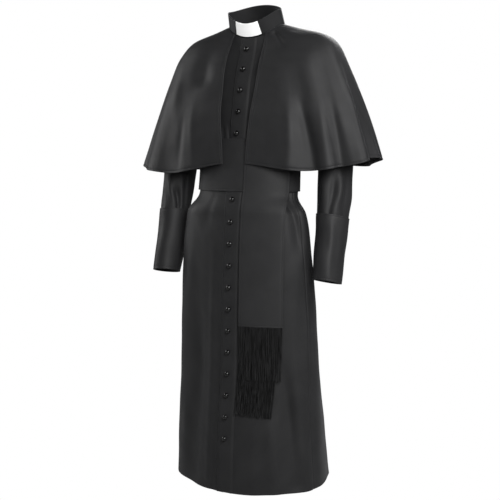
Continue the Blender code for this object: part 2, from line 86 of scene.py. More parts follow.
# Creases, each laid from one place to another: from_deg, from_z, to_deg, to_z, bow_deg, width at each
# end, depth (minus is a trough), and how much of the depth is left at each end
BODY_CREASES = (
    # gathers over the sash, each side of the buttons
    (-9.0, -0.345, -15.0, -0.265, 1.0, 0.004, 0.007, -0.0022, 0.9, 0.0),
    (-16.0, -0.345, -20.0, -0.275, -1.0, 0.005, 0.008, -0.0024, 0.9, 0.0),
    (-12.5, -0.345, -17.0, -0.285, 0.5, 0.004, 0.006, 0.0018, 0.9, 0.0),
    (-22.0, -0.345, -24.0, -0.290, 0.0, 0.006, 0.008, 0.0022, 0.9, 0.0),
    (9.0, -0.345, 14.0, -0.280, 0.5, 0.005, 0.008, -0.0020, 0.9, 0.0),
    (14.0, -0.345, 18.0, -0.290, -0.5, 0.005, 0.008, 0.0018, 0.9, 0.0),
    (30.0, -0.345, 27.0, -0.280, 0.5, 0.006, 0.010, -0.0022, 0.9, 0.0),
    (-34.0, -0.345, -32.0, -0.275, 0.5, 0.006, 0.010, -0.0022, 0.9, 0.0),
    # soft ridge beside the button band, and the hollow next to it
    (-17.0, -0.640, -14.0, -1.330, 1.0, 0.012, 0.016, 0.0062, 0.2, 0.7),
    (-31.0, -0.740, -29.0, -1.320, 0.0, 0.024, 0.034, -0.0130, 0.0, 0.5),
    # hips, over the front and round to the back
    (-46.0, -0.560, -52.0, -0.980, 2.0, 0.018, 0.034, 0.0050, 0.0, 0.0),
    (-62.0, -0.500, -70.0, -0.640, -2.0, 0.010, 0.020, -0.0022, 0.6, 0.0),
    (-26.0, -0.498, -30.0, -0.620, 1.0, 0.010, 0.020, -0.0018, 0.6, 0.0),
    (64.0, -0.486, 69.0, -0.690, 1.0, 0.015, 0.022, -0.0125, 1.0, 0.0),
    (75.0, -0.720, 72.0, -1.120, 0.0, 0.012, 0.018, 0.0070, 0.0, 0.2),
    (44.0, -0.940, 55.0, -1.330, 1.0, 0.018, 0.028, -0.0125, 0.0, 0.6),
    (34.0, -1.080, 38.0, -1.350, 0.0, 0.018, 0.024, 0.0056, 0.0, 0.8),
    (62.0, -1.180, 66.0, -1.350, 0.0, 0.016, 0.022, 0.0026, 0.0, 0.8),
    (-47.0, -1.060, -46.0, -1.345, 1.0, 0.018, 0.028, 0.0062, 0.0, 0.7),
    (-11.0, -1.160, -10.5, -1.355, 0.0, 0.006, 0.010, -0.0030, 0.0, 0.9),
    # back: from the waist down, uneven
    (105.0, -0.500, 112.0, -0.760, 2.0, 0.012, 0.024, -0.0030, 0.7, 0.0),
    (128.0, -0.500, 126.0, -0.700, -1.0, 0.010, 0.020, 0.0026, 0.7, 0.0),
    (150.0, -0.500, 153.0, -0.860, 1.5, 0.012, 0.026, -0.0032, 0.8, 0.0),
    (172.0, -0.500, 170.0, -0.660, 0.0, 0.010, 0.018, 0.0024, 0.8, 0.0),
    (-166.0, -0.500, -168.0, -0.780, -1.0, 0.012, 0.022, -0.0028, 0.8, 0.0),
    (-142.0, -0.500, -138.0, -0.720, 1.0, 0.012, 0.022, 0.0026, 0.7, 0.0),
    (-120.0, -0.500, -122.0, -0.840, -2.0, 0.012, 0.026, -0.0032, 0.7, 0.0),
    (-96.0, -0.500, -92.0, -0.700, 1.0, 0.010, 0.022, 0.0024, 0.6, 0.0),
    (118.0, -0.980, 122.0, -1.350, 1.0, 0.018, 0.028, 0.0036, 0.0, 0.8),
    (-130.0, -1.020, -128.0, -1.350, -1.0, 0.018, 0.028, -0.0036, 0.0, 0.8),
    (-176.0, -1.000, -178.0, -1.350, 1.0, 0.020, 0.030, 0.0034, 0.0, 0.8),
    # back: gathers over the sash
    (120.0, -0.345, 124.0, -0.250, 0.5, 0.006, 0.010, -0.0024, 0.9, 0.0),
    (146.0, -0.345, 142.0, -0.240, -1.0, 0.007, 0.012, -0.0028, 0.9, 0.0),
    (-150.0, -0.345, -146.0, -0.250, 1.0, 0.007, 0.012, -0.0026, 0.9, 0.0),
    (-118.0, -0.345, -124.0, -0.260, 0.5, 0.006, 0.010, -0.0024, 0.9, 0.0),
    (170.0, -0.345, 174.0, -0.270, 0.5, 0.006, 0.010, 0.0020, 0.9, 0.0),
)


def spline(values, at):
    """Reads a table's rows as smooth curves: values is rows by columns, at is in rows from 0."""
    values = np.asarray(values, float)
    at = np.clip(np.asarray(at, float), 0.0, len(values) - 1.0)
    rise = np.diff(values, axis=0)
    slope = np.zeros_like(values)
    before, after = rise[:-1], rise[1:]
    total = before + after
    same = before * after > 0
    slope[1:-1] = np.where(same, 2 * before * after / np.where(same, total, 1.0), 0.0)
    slope[0], slope[-1] = rise[0], rise[-1]
    row = np.minimum(at.astype(int), len(values) - 2)
    t = (at - row)[..., None]
    h00, h10 = 2 * t**3 - 3 * t**2 + 1, t**3 - 2 * t**2 + t
    h01, h11 = 3 * t**2 - 2 * t**3, t**3 - t**2
    return h00 * values[row] + h10 * slope[row] + h01 * values[row + 1] + h11 * slope[row + 1]


def rings_at(rings, level):
    """A table of rings read at levels between its rows."""
    return spline(list(rings.values()), level)


def bump(offset, width):
    """A soft rise of height 1 that dies out at 1.6 widths to each side."""
    x = np.clip(np.abs(offset) / (1.6 * width), 0.0, 1.0)
    return (1.0 - x**2) ** 2


def turn(offset):
    """An angle in degrees brought to -180 to 180."""
    return (np.asarray(offset) + 180.0) % 360.0 - 180.0


def ring_point(ring, theta, power=2.0):
    """A point on a ring, from its first seven columns. theta is 0 in front and grows to the wearer's left."""
    z_front, z_side, z_back, width, front, back, centre_y = (ring[..., i] for i in range(7))
    ahead = np.cos(theta) > 0
    depth = np.where(ahead, front, back)
    z_end = np.where(ahead, z_front, z_back)
    z = z_side + (z_end - z_side) * np.cos(theta) ** 2
    x = width * np.sign(np.sin(theta)) * np.abs(np.sin(theta)) ** (2 / power)
    y = centre_y - depth * np.sign(np.cos(theta)) * np.abs(np.cos(theta)) ** (2 / power)
    return np.stack([x, y, z], -1)


def body_base(theta, level):
    """The worn body without its creases. A level is a row of the rings, counted from the neck as 0."""
    theta, level = np.broadcast_arrays(theta, level)
    point = ring_point(rings_at(BODY_RINGS, level), theta)
    push = np.zeros(theta.shape)
    for angle, width, depth, z_start in SKIRT_FOLDS:
        grown = np.clip((z_start - point[..., 2]) / (z_start + 1.35), 0.0, 1.0)
        push = push + depth * grown**0.8 * bump(turn(np.degrees(theta) - angle), width)
    point[..., 0] += push * np.sin(theta)
    point[..., 1] -= push * np.cos(theta)
    return point


def outward(base, theta, level):
    """The unit normal of a surface at theta and level, facing out."""
    step = 0.004
    across = base(theta + step, level) - base(theta - step, level)
    down = base(theta, level + step) - base(theta, level - step)
    normal = np.cross(down, across)
    return normal / np.maximum(np.linalg.norm(normal, axis=-1, keepdims=True), 1e-12)


def pushed(points, base, theta, level, push):
    """Points of a surface moved out of it along its normals."""
    return points + outward(base, theta, level) * push[..., None]


def level_of(base, last, theta, z):
    """The level at which a surface reaches each height, at each angle."""
    levels = np.linspace(0, last, 700)
    found = []
    for angle, height in zip(np.atleast_1d(theta), np.atleast_1d(z)):
        heights = base(np.full(levels.shape, angle), levels)[:, 2]
        found.append(np.interp(-height, -heights, levels))
    return np.array(found)


def crease_path(base, last, crease, by_height=True):
    """A crease's row from a table, as points on its surface with the width and depth at each."""
    from_deg, from_z, to_deg, to_z, bow, width_a, width_b, depth, hold_a, hold_b = crease
    t = np.linspace(0, 1, 17)
    theta = np.radians(from_deg + (to_deg - from_deg) * t + bow * 4 * t * (1 - t))
    z = from_z + (to_z - from_z) * t
    level = level_of(base, last, theta, z) if by_height else z
    soft = t * t * (3 - 2 * t)
    rise = np.minimum(hold_a + (1 - hold_a) * np.sin(np.pi * np.minimum(t, 0.5)) ** 2, 1.0)
    fall = np.minimum(hold_b + (1 - hold_b) * np.sin(np.pi * np.minimum(1 - t, 0.5)) ** 2, 1.0)
    return base(theta, level), width_a + (width_b - width_a) * soft, depth * rise * fall


def creased(points, paths):
    """How far each point of a sheet is pushed out by its creases: positive outwards."""
    flat = points.reshape(-1, 3)
    push = np.zeros(len(flat))
    for path, width, depth in paths:
        reach = 2.4 * width.max()
        low, high = path.min(axis=0) - reach, path.max(axis=0) + reach
        near = np.flatnonzero(((flat > low) & (flat < high)).all(axis=1))
        if not len(near):
            continue
        spot = flat[near]
        best = np.full(len(near), np.inf)
        at = np.zeros(len(near))
        for i in range(len(path) - 1):
            along = path[i + 1] - path[i]
            t = np.clip((spot - path[i]) @ along / (along @ along), 0, 1)
            gap = np.linalg.norm(spot - path[i] - t[:, None] * along, axis=1)
            closer = gap < best
            best = np.where(closer, gap, best)
            at = np.where(closer, i + t, at)
        rows = np.arange(len(path))
        push[near] += np.interp(at, rows, depth) * np.exp(-((best / np.interp(at, rows, width)) ** 2))
    return push.reshape(points.shape[:-1])


def ripple(points, size, seed, waves=7):
    """Slow unevenness of hung cloth, between about -1 and 1."""
    dice = np.random.default_rng(seed)
    total = np.zeros(points.shape[:-1])
    for _ in range(waves):
        way = dice.normal(size=3) * np.array([1.0, 1.0, 0.45])
        way *= dice.uniform(0.6, 1.4) * 2 * math.pi / (size * np.linalg.norm(way))
        total += np.sin(points @ way + dice.uniform(0, 2 * math.pi))
    return total / waves**0.5


body_paths = [crease_path(body_base, BODY_LAST, row) for row in BODY_CREASES]


def body_cloth(theta, level, out=0.0):
    """The worn body's surface with its creases, moved out."""
    point = body_base(theta, level)
    push = creased(point, body_paths) + 0.0007 * ripple(point, 0.11, 4)
    return pushed(point, body_base, theta, level, push + out)


def levels_down(base, theta, first_level, last_level, step, near_low=True):
    """Levels a step apart along a surface, with closer ones at the lower end for its turned hem."""
    fine = np.linspace(first_level, last_level, 1500)
    line = base(np.full(fine.shape, theta), fine)
    run = np.concatenate([[0], np.cumsum(np.linalg.norm(np.diff(line, axis=0), axis=1))])
    hem = EDGE_STEPS[::-1] if near_low else np.array([0.0])
    marks = np.linspace(0, run[-1] - hem[0], max(3, round(run[-1] / step)))
    return np.interp(np.concatenate([marks[:-1], run[-1] - hem]), run, fine)


def across(width, columns):
    """Shares from 0 to 1 across each row, close together near both edges."""
    left = EDGE_STEPS[None, :] / width[:, None]
    right = 1 - left[:, ::-1]
    middle = np.linspace(0, 1, columns)[None, 1:-1]
    inner = left[:, -1:] + (right[:, :1] - left[:, -1:]) * middle
    return np.concatenate([left, inner, right], axis=1)


def seamed(distance, depth=0.0012, reach=0.0026):
    """How far a seamed edge is drawn in at a distance from it."""
    return -depth * np.exp(-((distance / reach) ** 2))


def stitched_in(distance, inset=0.0060, depth=0.0006):
    """The shallow line that a row of stitches presses into the cloth."""
    return -depth * np.exp(-(((distance - inset) / 0.0013) ** 2))


def lengths(points, axis):
    """Metres run along the rows or columns of a grid of points."""
    step = np.linalg.norm(np.diff(points, axis=axis), axis=-1)
    shape = list(points.shape[:2])
    shape[axis] = 1
    return np.concatenate([np.zeros(shape), np.cumsum(step, axis=axis)], axis=axis)


def sheet_of(name, points, material, wall=WALL, closed=False):
    """A thin piece of cloth through a grid of points, with a map in metres for its weave."""
    rows, columns = points.shape[:2]
    mesh = bpy.data.meshes.new(name)
    wide = columns if closed else columns - 1
    r, c = np.meshgrid(np.arange(rows - 1), np.arange(wide), indexing="ij")
    a, b = r * columns + c, r * columns + (c + 1) % columns
    faces = np.stack([a, a + columns, b + columns, b], -1).reshape(-1, 4)
    mesh.from_pydata(points.reshape(-1, 3).tolist(), [], faces.tolist())
    round_trip = np.concatenate([points, points[:, :1]], axis=1) if closed else points
    u, v = lengths(round_trip, 1), lengths(round_trip, 0)
    u = u - u.mean(axis=1, keepdims=True)
    place = np.stack([u, v], -1)
    corners = np.stack([place[r, c], place[r + 1, c], place[r + 1, c + 1], place[r, c + 1]], 2)
    weave = mesh.uv_layers.new(name="cloth")
    weave.data.foreach_set("uv", corners.reshape(-1).astype(np.float32))
    mesh.materials.append(material)
    mesh.shade_smooth()
    piece = bpy.data.objects.new(name, mesh)
    bpy.context.scene.collection.objects.link(piece)
    thick = piece.modifiers.new("wall", "SOLIDIFY")
    thick.thickness = wall
    thick.offset = 1.0
    return piece


def feed(tree, node, inputs):
    """Gives each named input its value, or a link from the socket that drives it."""
    for name, value in inputs.items():
        if isinstance(value, bpy.types.NodeSocket):
            tree.links.new(value, node.inputs[name])
        else:
            node.inputs[name].default_value = value


def add(tree, kind, inputs=None, **settings):
    """A new node with its settings and inputs."""
    node = tree.nodes.new(kind)
    for name, value in settings.items():
        setattr(node, name, value)
    feed(tree, node, inputs or {})
    return node


def group_of(name, kind, inputs, outputs):
    """A node group with named inputs and outputs, and the sockets at its two ends."""
    group = bpy.data.node_groups.new(name, kind)
    for way, sockets in (("INPUT", inputs), ("OUTPUT", outputs)):
        for socket, holds in sockets.items():
            group.interface.new_socket(name=socket, in_out=way, socket_type="NodeSocket" + holds)
    return group, group.nodes.new("NodeGroupInput").outputs, group.nodes.new("NodeGroupOutput").inputs


def material_of(name, constants):
    """A material with constants on its shader."""
    made = bpy.data.materials.new(name)
    made.use_nodes = True
    tree = made.node_tree
    shader = tree.nodes["Principled BSDF"]
    feed(tree, shader, constants)
    return made, tree, shader


def between_colours(tree, share, first, second):
    """A colour between two others, by a share."""
    ends = {"Factor": share, "A": (*first, 1.0), "B": (*second, 1.0)}
    return add(tree, "ShaderNodeMix", ends, data_type="RGBA").outputs["Result"]


def between_values(tree, share, low, high, start=0.0, stop=1.0):
    """A value that goes from low to high as a share goes from start to stop."""
    ends = {"Value": share, "From Min": start, "From Max": stop, "To Min": low, "To Max": high}
    return add(tree, "ShaderNodeMapRange", ends).outputs["Result"]


def raised(tree, height, strength, distance=0.0003):
    """A normal that shows a fine relief."""
    relief = add(tree, "ShaderNodeBump", {"Strength": strength, "Distance": distance, "Height": height})
    return relief.outputs["Normal"]


def twill_group():
    """Fine diagonal ribs of a twill with slubs: Height for its relief and Shade for its lightness."""
    group, taken, given = group_of(
        "twill weave", "ShaderNodeTree",
        {"Place": "Vector", "Rib": "Float", "Patch": "Float"}, {"Height": "Float", "Shade": "Float"},
    )
    place = taken["Place"]
    # a wave of scale 1 has a band every 0.314
    per_rib = add(group, "ShaderNodeMath", {0: 0.314, 1: taken["Rib"]}, operation="DIVIDE").outputs[0]
    ribs = add(
        group, "ShaderNodeTexWave", {"Vector": place, "Scale": per_rib, "Distortion": 0.6, "Detail": 1.0},
        bands_direction="DIAGONAL",
    )
    yarn = add(group, "ShaderNodeTexNoise", {"Vector": place, "Scale": 900.0, "Detail": 2.0})
    relief = add(group, "ShaderNodeMix", {"Factor": 0.4, "A": ribs.outputs["Fac"], "B": yarn.outputs["Fac"]})
    height = relief.outputs["Result"]
    per_patch = add(group, "ShaderNodeMath", {0: 1.0, 1: taken["Patch"]}, operation="DIVIDE").outputs[0]
    patch = add(group, "ShaderNodeTexNoise", {"Vector": place, "Scale": per_patch, "Detail": 4.0})
    shade = add(group, "ShaderNodeMix", {"Factor": 0.35, "A": patch.outputs["Fac"], "B": height})
    group.links.new(height, given["Height"])
    group.links.new(shade.outputs["Result"], given["Shade"])
    return group


TWILL = twill_group()
# Metres from rib to rib and across an uneven patch of the dye, and how far the black leans to blue
TWILL_RIB, TWILL_PATCH, DYE_BLUE = 0.0009, 0.070, 0.0006


def black_twill(name, dark, light, rough_low, rough_high):
    """Black satin twill: a deep, slightly uneven dye, a soft gloss and a faint bloom at grazing angles."""
    dark, light = (dark, dark, dark + DYE_BLUE), (light, light, light + DYE_BLUE)
    made, tree, shader = material_of(name, {
        "Sheen Weight": 0.02,
        "Sheen Roughness": 0.45,
        "Sheen Tint": (0.9, 0.92, 1.0, 1.0),
        "Specular IOR Level": 0.17,
    })
    place = add(tree, "ShaderNodeUVMap", uv_map="cloth")
    weave = add(tree, "ShaderNodeGroup", node_tree=TWILL)
    feed(tree, weave, {"Rib": TWILL_RIB, "Patch": TWILL_PATCH, "Place": place.outputs["UV"]})
    shade = weave.outputs["Shade"]
    feed(tree, shader, {
        "Base Color": between_colours(tree, shade, dark, light),
        "Roughness": between_values(tree, shade, rough_high, rough_low),
        "Normal": raised(tree, weave.outputs["Height"], 0.25),
    })
    made.diffuse_color = (*light, 1.0)
    return made


body_black = black_twill("black_satin_twill", 0.0080, 0.0215, 0.48, 0.62)


def seam_angle(level):
    """The angle of the side seam at a level."""
    return np.radians(rings_at(BODY_RINGS, level)[..., SEAM_COLUMN])


def armhole_half(level):
    """Half the armhole's width round the body, in radians, at a level."""
    middle = (ARMHOLE_TOP + ARMHOLE_LOW) / 2
    half = (ARMHOLE_LOW - ARMHOLE_TOP) / 2
    inside = np.clip(1 - ((level - middle) / half) ** 2, 0.0, None)
    return np.radians(ARMHOLE_HALF_DEG) * np.sqrt(inside)


def grid_of(base, edge_a, edge_b, levels, columns, samples):
    """A sheet between two lines of angles: its angles, levels and shares across, and its rows' widths."""
    ways = np.linspace(0, 1, samples)[None, :]
    rough = base(edge_a[:, None] + (edge_b - edge_a)[:, None] * ways, levels[:, None] + 0 * ways)
    width = lengths(rough, 1)[:, -1]
    share = across(width, columns)
    theta = edge_a[:, None] + (edge_b - edge_a)[:, None] * share
    return theta, levels[:, None] + 0 * share, share, width


def panel(name, edge_a, edge_b, levels, columns, seam_a, seam_b):
    """A body panel between two lines of angles, with its seamed edges drawn in and its hem stitched."""
    theta, level, share, width = grid_of(body_base, edge_a, edge_b, levels, columns, 25)
    points = body_cloth(theta, level)
    down = lengths(points, 0)
    from_hem = down[-1:] - down
    from_a, from_b = share * width[:, None], (1 - share) * width[:, None]
    push = stitched_in(from_hem, SKIRT_HEM, 0.0005)
    if seam_a:
        push = push + seamed(from_a)
    if seam_b:
        push = push + seamed(from_b)
    return sheet_of(name, pushed(points, body_base, theta, level, push), body_black)


panel_levels = np.concatenate([
    np.linspace(0.0, ARMHOLE_TOP, 20)[:-1],
    (ARMHOLE_TOP + ARMHOLE_LOW) / 2 - np.cos(np.linspace(0, np.pi, 30)) * (ARMHOLE_LOW - ARMHOLE_TOP) / 2,
    levels_down(body_base, 0.6, ARMHOLE_LOW, BODY_LAST, 0.0056)[1:],
])
front_speed = np.linalg.norm(
    body_base(np.full(panel_levels.shape, 0.01), panel_levels)
    - body_base(np.full(panel_levels.shape, -0.01), panel_levels), axis=-1
) / 0.02
inner_edge = (GAP / 2) / front_speed
seam = seam_angle(panel_levels)
# away from the armhole, the seam's gap is half a gap on each side, on a body about 0.2 m from middle to side
arm = np.maximum(armhole_half(panel_levels), (GAP / 2) / 0.2)
front_left = panel("front_left_cloth", inner_edge, seam - arm, panel_levels, 46, False, True)
front_right = panel("front_right_cloth", arm - seam, -inner_edge, panel_levels, 46, True, False)
back = panel("back_cloth", seam + arm, 2 * math.pi - seam - arm, panel_levels, 118, True, True)
for piece, node, flat, area in (
    (front_left, "front_left", (0.30, 1.34), 0.2995),
    (front_right, "front_right", (0.30, 1.34), 0.2995),
    (back, "back", (0.80, 1.39), 0.7616),
):
    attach(piece, "root")
    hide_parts(node)

# ---------------------------------------------------------------------------------------------------------
# Button band: a straight strip of the same twill, sewn over both front edges from the neck to the hem and
# edge-stitched down its near side, its far edge pressed flush into the front. The buttons sit on its middle.
# ---------------------------------------------------------------------------------------------------------
BAND_HALF = 0.026
BAND_OUT = BODY_WALL + GAP
BAND_STITCH_IN = 0.0040
BAND_FAR_SINK, BAND_FAR_REACH = 0.0021, 0.0050
band_levels = panel_levels.copy()
band_levels[0], band_levels[-1] = 0.03, BODY_LAST - 0.02
half_angle = BAND_HALF / front_speed
share = across(np.full(band_levels.shape, 2 * BAND_HALF), 9)
theta = half_angle[:, None] * (2 * share - 1)
level = band_levels[:, None] + 0 * share
points = body_cloth(theta, level, BAND_OUT)
from_edge = np.minimum(share, 1 - share) * 2 * BAND_HALF
pucker = 0.00035 * np.sin(lengths(points, 0) * 2 * math.pi / 0.031 + 5 * share)
push = stitched_in(from_edge, BAND_STITCH_IN, 0.0005) + pucker * np.exp(-((from_edge / 0.008) ** 2))
# the far edge is pressed flush into the front, so only the near one is stitched down on top
push = push * (share < 0.5) - BAND_FAR_SINK * np.exp(-(((1 - share) * 2 * BAND_HALF / BAND_FAR_REACH) ** 2))
points = pushed(points, body_base, theta, level, push)
band_black = black_twill("band_satin_twill", 0.0085, 0.0225, 0.48, 0.62)
button_band = sheet_of("button_band_cloth", points, band_black)


def grown(name, guide, tree, values):
    """Runs a node tree on a guide mesh with values for its inputs, and keeps the result as a plain mesh."""
    holder = bpy.data.objects.new(name + "_guide", guide)
    bpy.context.scene.collection.objects.link(holder)
    made = holder.modifiers.new("made", "NODES")
    made.node_group = tree
    for item in tree.interface.items_tree:
        if item.in_out == "INPUT" and item.name in values:
            made[item.identifier] = values[item.name]
    graph = bpy.context.evaluated_depsgraph_get()
    plain = bpy.data.meshes.new_from_object(holder.evaluated_get(graph))
    plain.name = name
    holder.modifiers.remove(made)
    bpy.data.objects.remove(holder, do_unlink=True)
    piece = bpy.data.objects.new(name, plain)
    bpy.context.scene.collection.objects.link(piece)
    return piece


def finished_tree(tree, made, taken, given):
    """Ends a tree with its copies made real, in the material asked for."""
    real = add(tree, "GeometryNodeRealizeInstances", {"Geometry": made})
    real = real.outputs["Geometry"]
    dyed = add(tree, "GeometryNodeSetMaterial", {"Geometry": real, "Material": taken["Material"]})
    tree.links.new(dyed.outputs["Geometry"], given["Geometry"])
    return tree


def stitch_tree():
    """A row of machine stitches along a line: short threads end to end, each laid along it."""
    tree, taken, given = group_of(
        "stitch row", "GeometryNodeTree",
        {"Geometry": "Geometry", "Pitch": "Float", "Thread": "Float", "Seed": "Int", "Material": "Material"},
        {"Geometry": "Geometry"},
    )
    line = add(tree, "GeometryNodeMeshToCurve", {"Mesh": taken["Geometry"]}).outputs["Curve"]
    spaced = add(tree, "GeometryNodeResampleCurve", {"Curve": line, "Length": taken["Pitch"]}, mode="LENGTH")
    along = add(tree, "GeometryNodeInputTangent").outputs["Tangent"]
    laid = add(tree, "FunctionNodeAlignRotationToVector", {"Vector": along}, axis="Z")
    span = add(tree, "ShaderNodeMath", {0: taken["Pitch"], 1: 0.78}, operation="MULTIPLY").outputs[0]
    thread = add(tree, "GeometryNodeMeshCylinder", {"Vertices": 6, "Radius": taken["Thread"], "Depth": span})
    uneven = add(tree, "FunctionNodeRandomValue", {2: 0.86, 3: 1.0, "Seed": taken["Seed"]}, data_type="FLOAT")
    placed = add(tree, "GeometryNodeInstanceOnPoints", {
        "Points": spaced.outputs["Curve"],
        "Instance": thread.outputs["Mesh"],
        "Rotation": laid.outputs["Rotation"],
        "Scale": uneven.outputs[1],
    })
    return finished_tree(tree, placed.outputs["Instances"], taken, given)


def inside(points, axis, inset, from_end):
    """The line across a grid at a distance in from its first or last row (axis 0) or column (axis 1)."""
    run = lengths(points, axis)
    grid = points if axis == 0 else points.swapaxes(0, 1)
    run = run if axis == 0 else run.T
    line = []
    for c in range(grid.shape[1]):
        wanted = run[-1, c] - inset if from_end else inset
        line.append([np.interp(wanted, run[:, c], grid[:, c, k]) for k in range(3)])
    return np.array(line)


def stitched(name, rows, seed, pitch=0.0030):
    """Rows of thread along lines of points, as one piece."""
    mesh = bpy.data.meshes.new(name + "_lines")
    points, edges = [], []
    for row in rows:
        first = len(points)
        points += row.tolist()
        edges += [(first + i, first + i + 1) for i in range(len(row) - 1)]
    mesh.from_pydata(points, edges, [])
    values = {"Pitch": pitch, "Thread": 0.00028, "Seed": seed, "Material": thread_black}
    piece = grown(name, mesh, stitches, values)
    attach(piece, "root")
    return piece


thread_black = black_twill("sewing_thread", 0.0080, 0.0200, 0.45, 0.60)
stitches = stitch_tree()
faces_out = outward(body_base, theta, level) * (BODY_WALL + 0.0001)
band_stitches = stitched("button_band_stitches", [inside(points + faces_out, 1, BAND_STITCH_IN, False)], 41)
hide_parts("button_band")
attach(button_band, "root")
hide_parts("button_band")

# ---------------------------------------------------------------------------------------------------------
# Sleeves: a two-seam sleeve of the twill set into each armhole, a little full at its head, easing to the
# cuff seam, where it breaks in a few folds.
# ---------------------------------------------------------------------------------------------------------
# x, y, z, across, deep, tilt_deg, lean_deg, for the wearer's left arm
SLEEVE_RINGS = {
    "head":      (0.2185, 0.026, -0.149, 0.0700, 0.0600, 23.0, 0.0),
    "upper":     (0.2380, 0.027, -0.189, 0.0600, 0.0580, 46.0, 2.0),
    "biceps":    (0.2550, 0.030, -0.250, 0.0530, 0.0570, 74.0, 4.0),
    "elbow":     (0.2620, 0.030, -0.380, 0.0500, 0.0560, 88.0, 8.0),
    "forearm":   (0.2650, 0.014, -0.480, 0.0480, 0.0540, 92.0, 13.0),
    "cuff_seam": (0.2670, -0.004, -0.550, 0.0445, 0.0500, 93.0, 14.0),
    "wrist":     (0.2710, -0.054, -0.733, 0.0380, 0.0420, 93.0, 14.0),
}
SLEEVE_SWAY = 0.004
CUFF_LEVEL, SLEEVE_LAST = 5.0, len(SLEEVE_RINGS) - 1
SLEEVE_TURNS = 76
ARMHOLE_DRAWN_IN = 0.0032
# from_deg, from_level, to_deg, to_level, bow_deg, widths, depth, holds, with 0 degrees in front of the arm
# and 90 outside it
LEFT_SLEEVE_CREASES = (
    (22.0, 3.0, 10.0, 5.0, 6.0, 0.013, 0.008, -0.0068, 0.0, 0.8),
    (48.0, 3.2, 38.0, 4.9, 4.0, 0.012, 0.008, 0.0056, 0.0, 0.2),
    (75.0, 3.0, 66.0, 5.0, -4.0, 0.012, 0.008, -0.0030, 0.0, 0.6),
    (100.0, 3.3, 96.0, 5.0, 3.0, 0.014, 0.009, 0.0030, 0.0, 0.6),
    (-20.0, 3.2, -14.0, 4.9, 5.0, 0.010, 0.007, 0.0030, 0.0, 0.5),
    (-45.0, 3.0, -40.0, 5.0, 0.0, 0.012, 0.008, -0.0035, 0.0, 0.7),
    (140.0, 2.6, 150.0, 5.0, 8.0, 0.014, 0.009, -0.0040, 0.0, 0.6),
    (180.0, 3.0, 176.0, 5.0, -5.0, 0.012, 0.008, 0.0032, 0.0, 0.7),
    (215.0, 2.9, 222.0, 5.0, 5.0, 0.012, 0.008, -0.0036, 0.0, 0.6),
    (250.0, 3.3, 246.0, 5.0, 4.0, 0.012, 0.008, 0.0028, 0.0, 0.6),
)
RIGHT_SLEEVE_CREASES = (
    (-14.0, 3.9, -46.0, 4.97, -4.0, 0.010, 0.006, -0.0100, 0.0, 1.0),
    (10.0, 3.5, -20.0, 4.8, -4.0, 0.011, 0.008, 0.0060, 0.0, 0.2),
    (48.0, 4.1, 26.0, 4.95, 0.0, 0.010, 0.006, -0.0045, 0.0, 0.8),
    (88.0, 2.9, 80.0, 4.9, -4.0, 0.012, 0.008, -0.0030, 0.0, 0.5),
    (-60.0, 2.8, -72.0, 5.0, 4.0, 0.010, 0.007, -0.0050, 0.0, 0.8),
    (-42.0, 2.9, -60.0, 4.8, 3.0, 0.010, 0.007, 0.0040, 0.0, 0.2),
    (130.0, 2.8, 122.0, 5.0, 6.0, 0.014, 0.009, 0.0036, 0.0, 0.6),
    (165.0, 3.1, 158.0, 5.0, -5.0, 0.012, 0.008, -0.0036, 0.0, 0.7),
    (200.0, 2.8, 206.0, 5.0, 5.0, 0.012, 0.008, 0.0030, 0.0, 0.6),
    (240.0, 3.2, 236.0, 5.0, -4.0, 0.012, 0.008, -0.0036, 0.0, 0.7),
)


def sleeve_base(phi, level, wider=0.0):
    """A point of the left sleeve. phi is 0 in front of the arm and 90 degrees on its outside."""
    phi, level = np.broadcast_arrays(np.asarray(phi, float), np.asarray(level, float))
    x, y, z, side, deep, tilt, lean = np.moveaxis(rings_at(SLEEVE_RINGS, level), -1, 0)
    tilt, lean = np.radians(tilt), np.radians(lean)
    out = np.stack([np.sin(tilt), 0 * tilt, np.cos(tilt)], -1)
    ahead = np.stack([0 * lean, -np.cos(lean), np.sin(lean)], -1)
    ring = (np.cos(phi) * (deep + wider))[..., None] * ahead + (np.sin(phi) * (side + wider))[..., None] * out
    return ring + np.stack([x, y, z], -1)


def armhole_ring(phi, drawn_in):
    """The sleeve's first ring, set into the armhole and drawn in a little."""
    middle = (ARMHOLE_TOP + ARMHOLE_LOW) / 2
    half = (ARMHOLE_LOW - ARMHOLE_TOP) / 2
    level = middle - half * np.sin(phi)
    theta = math.pi / 2 - np.radians(ARMHOLE_HALF_DEG) * np.cos(phi)
    rim = body_base(theta, level)
    inward = rim.mean(axis=0) - rim
    return rim + inward / np.linalg.norm(inward, axis=1, keepdims=True) * drawn_in


def tube_normals(points):
    """Normals of a closed tube of rows, facing out of it."""
    along = np.gradient(points, axis=0)
    ring = np.roll(points, -1, axis=1) - np.roll(points, 1, axis=1)
    normal = np.cross(along, ring)
    normal /= np.maximum(np.linalg.norm(normal, axis=-1, keepdims=True), 1e-12)
    away = ((points - points.mean(axis=1, keepdims=True)) * normal).sum()
    return normal if away > 0 else -normal


def sided(points, side):
    """The wearer's left piece, or its mirror image turned to face out. Both sway a little to the right."""
    points = points * np.array([side, 1.0, 1.0])
    points[..., 0] -= SLEEVE_SWAY * bump(points[..., 2] + 0.40, 0.16)
    return points if side > 0 else points[:, ::-1]


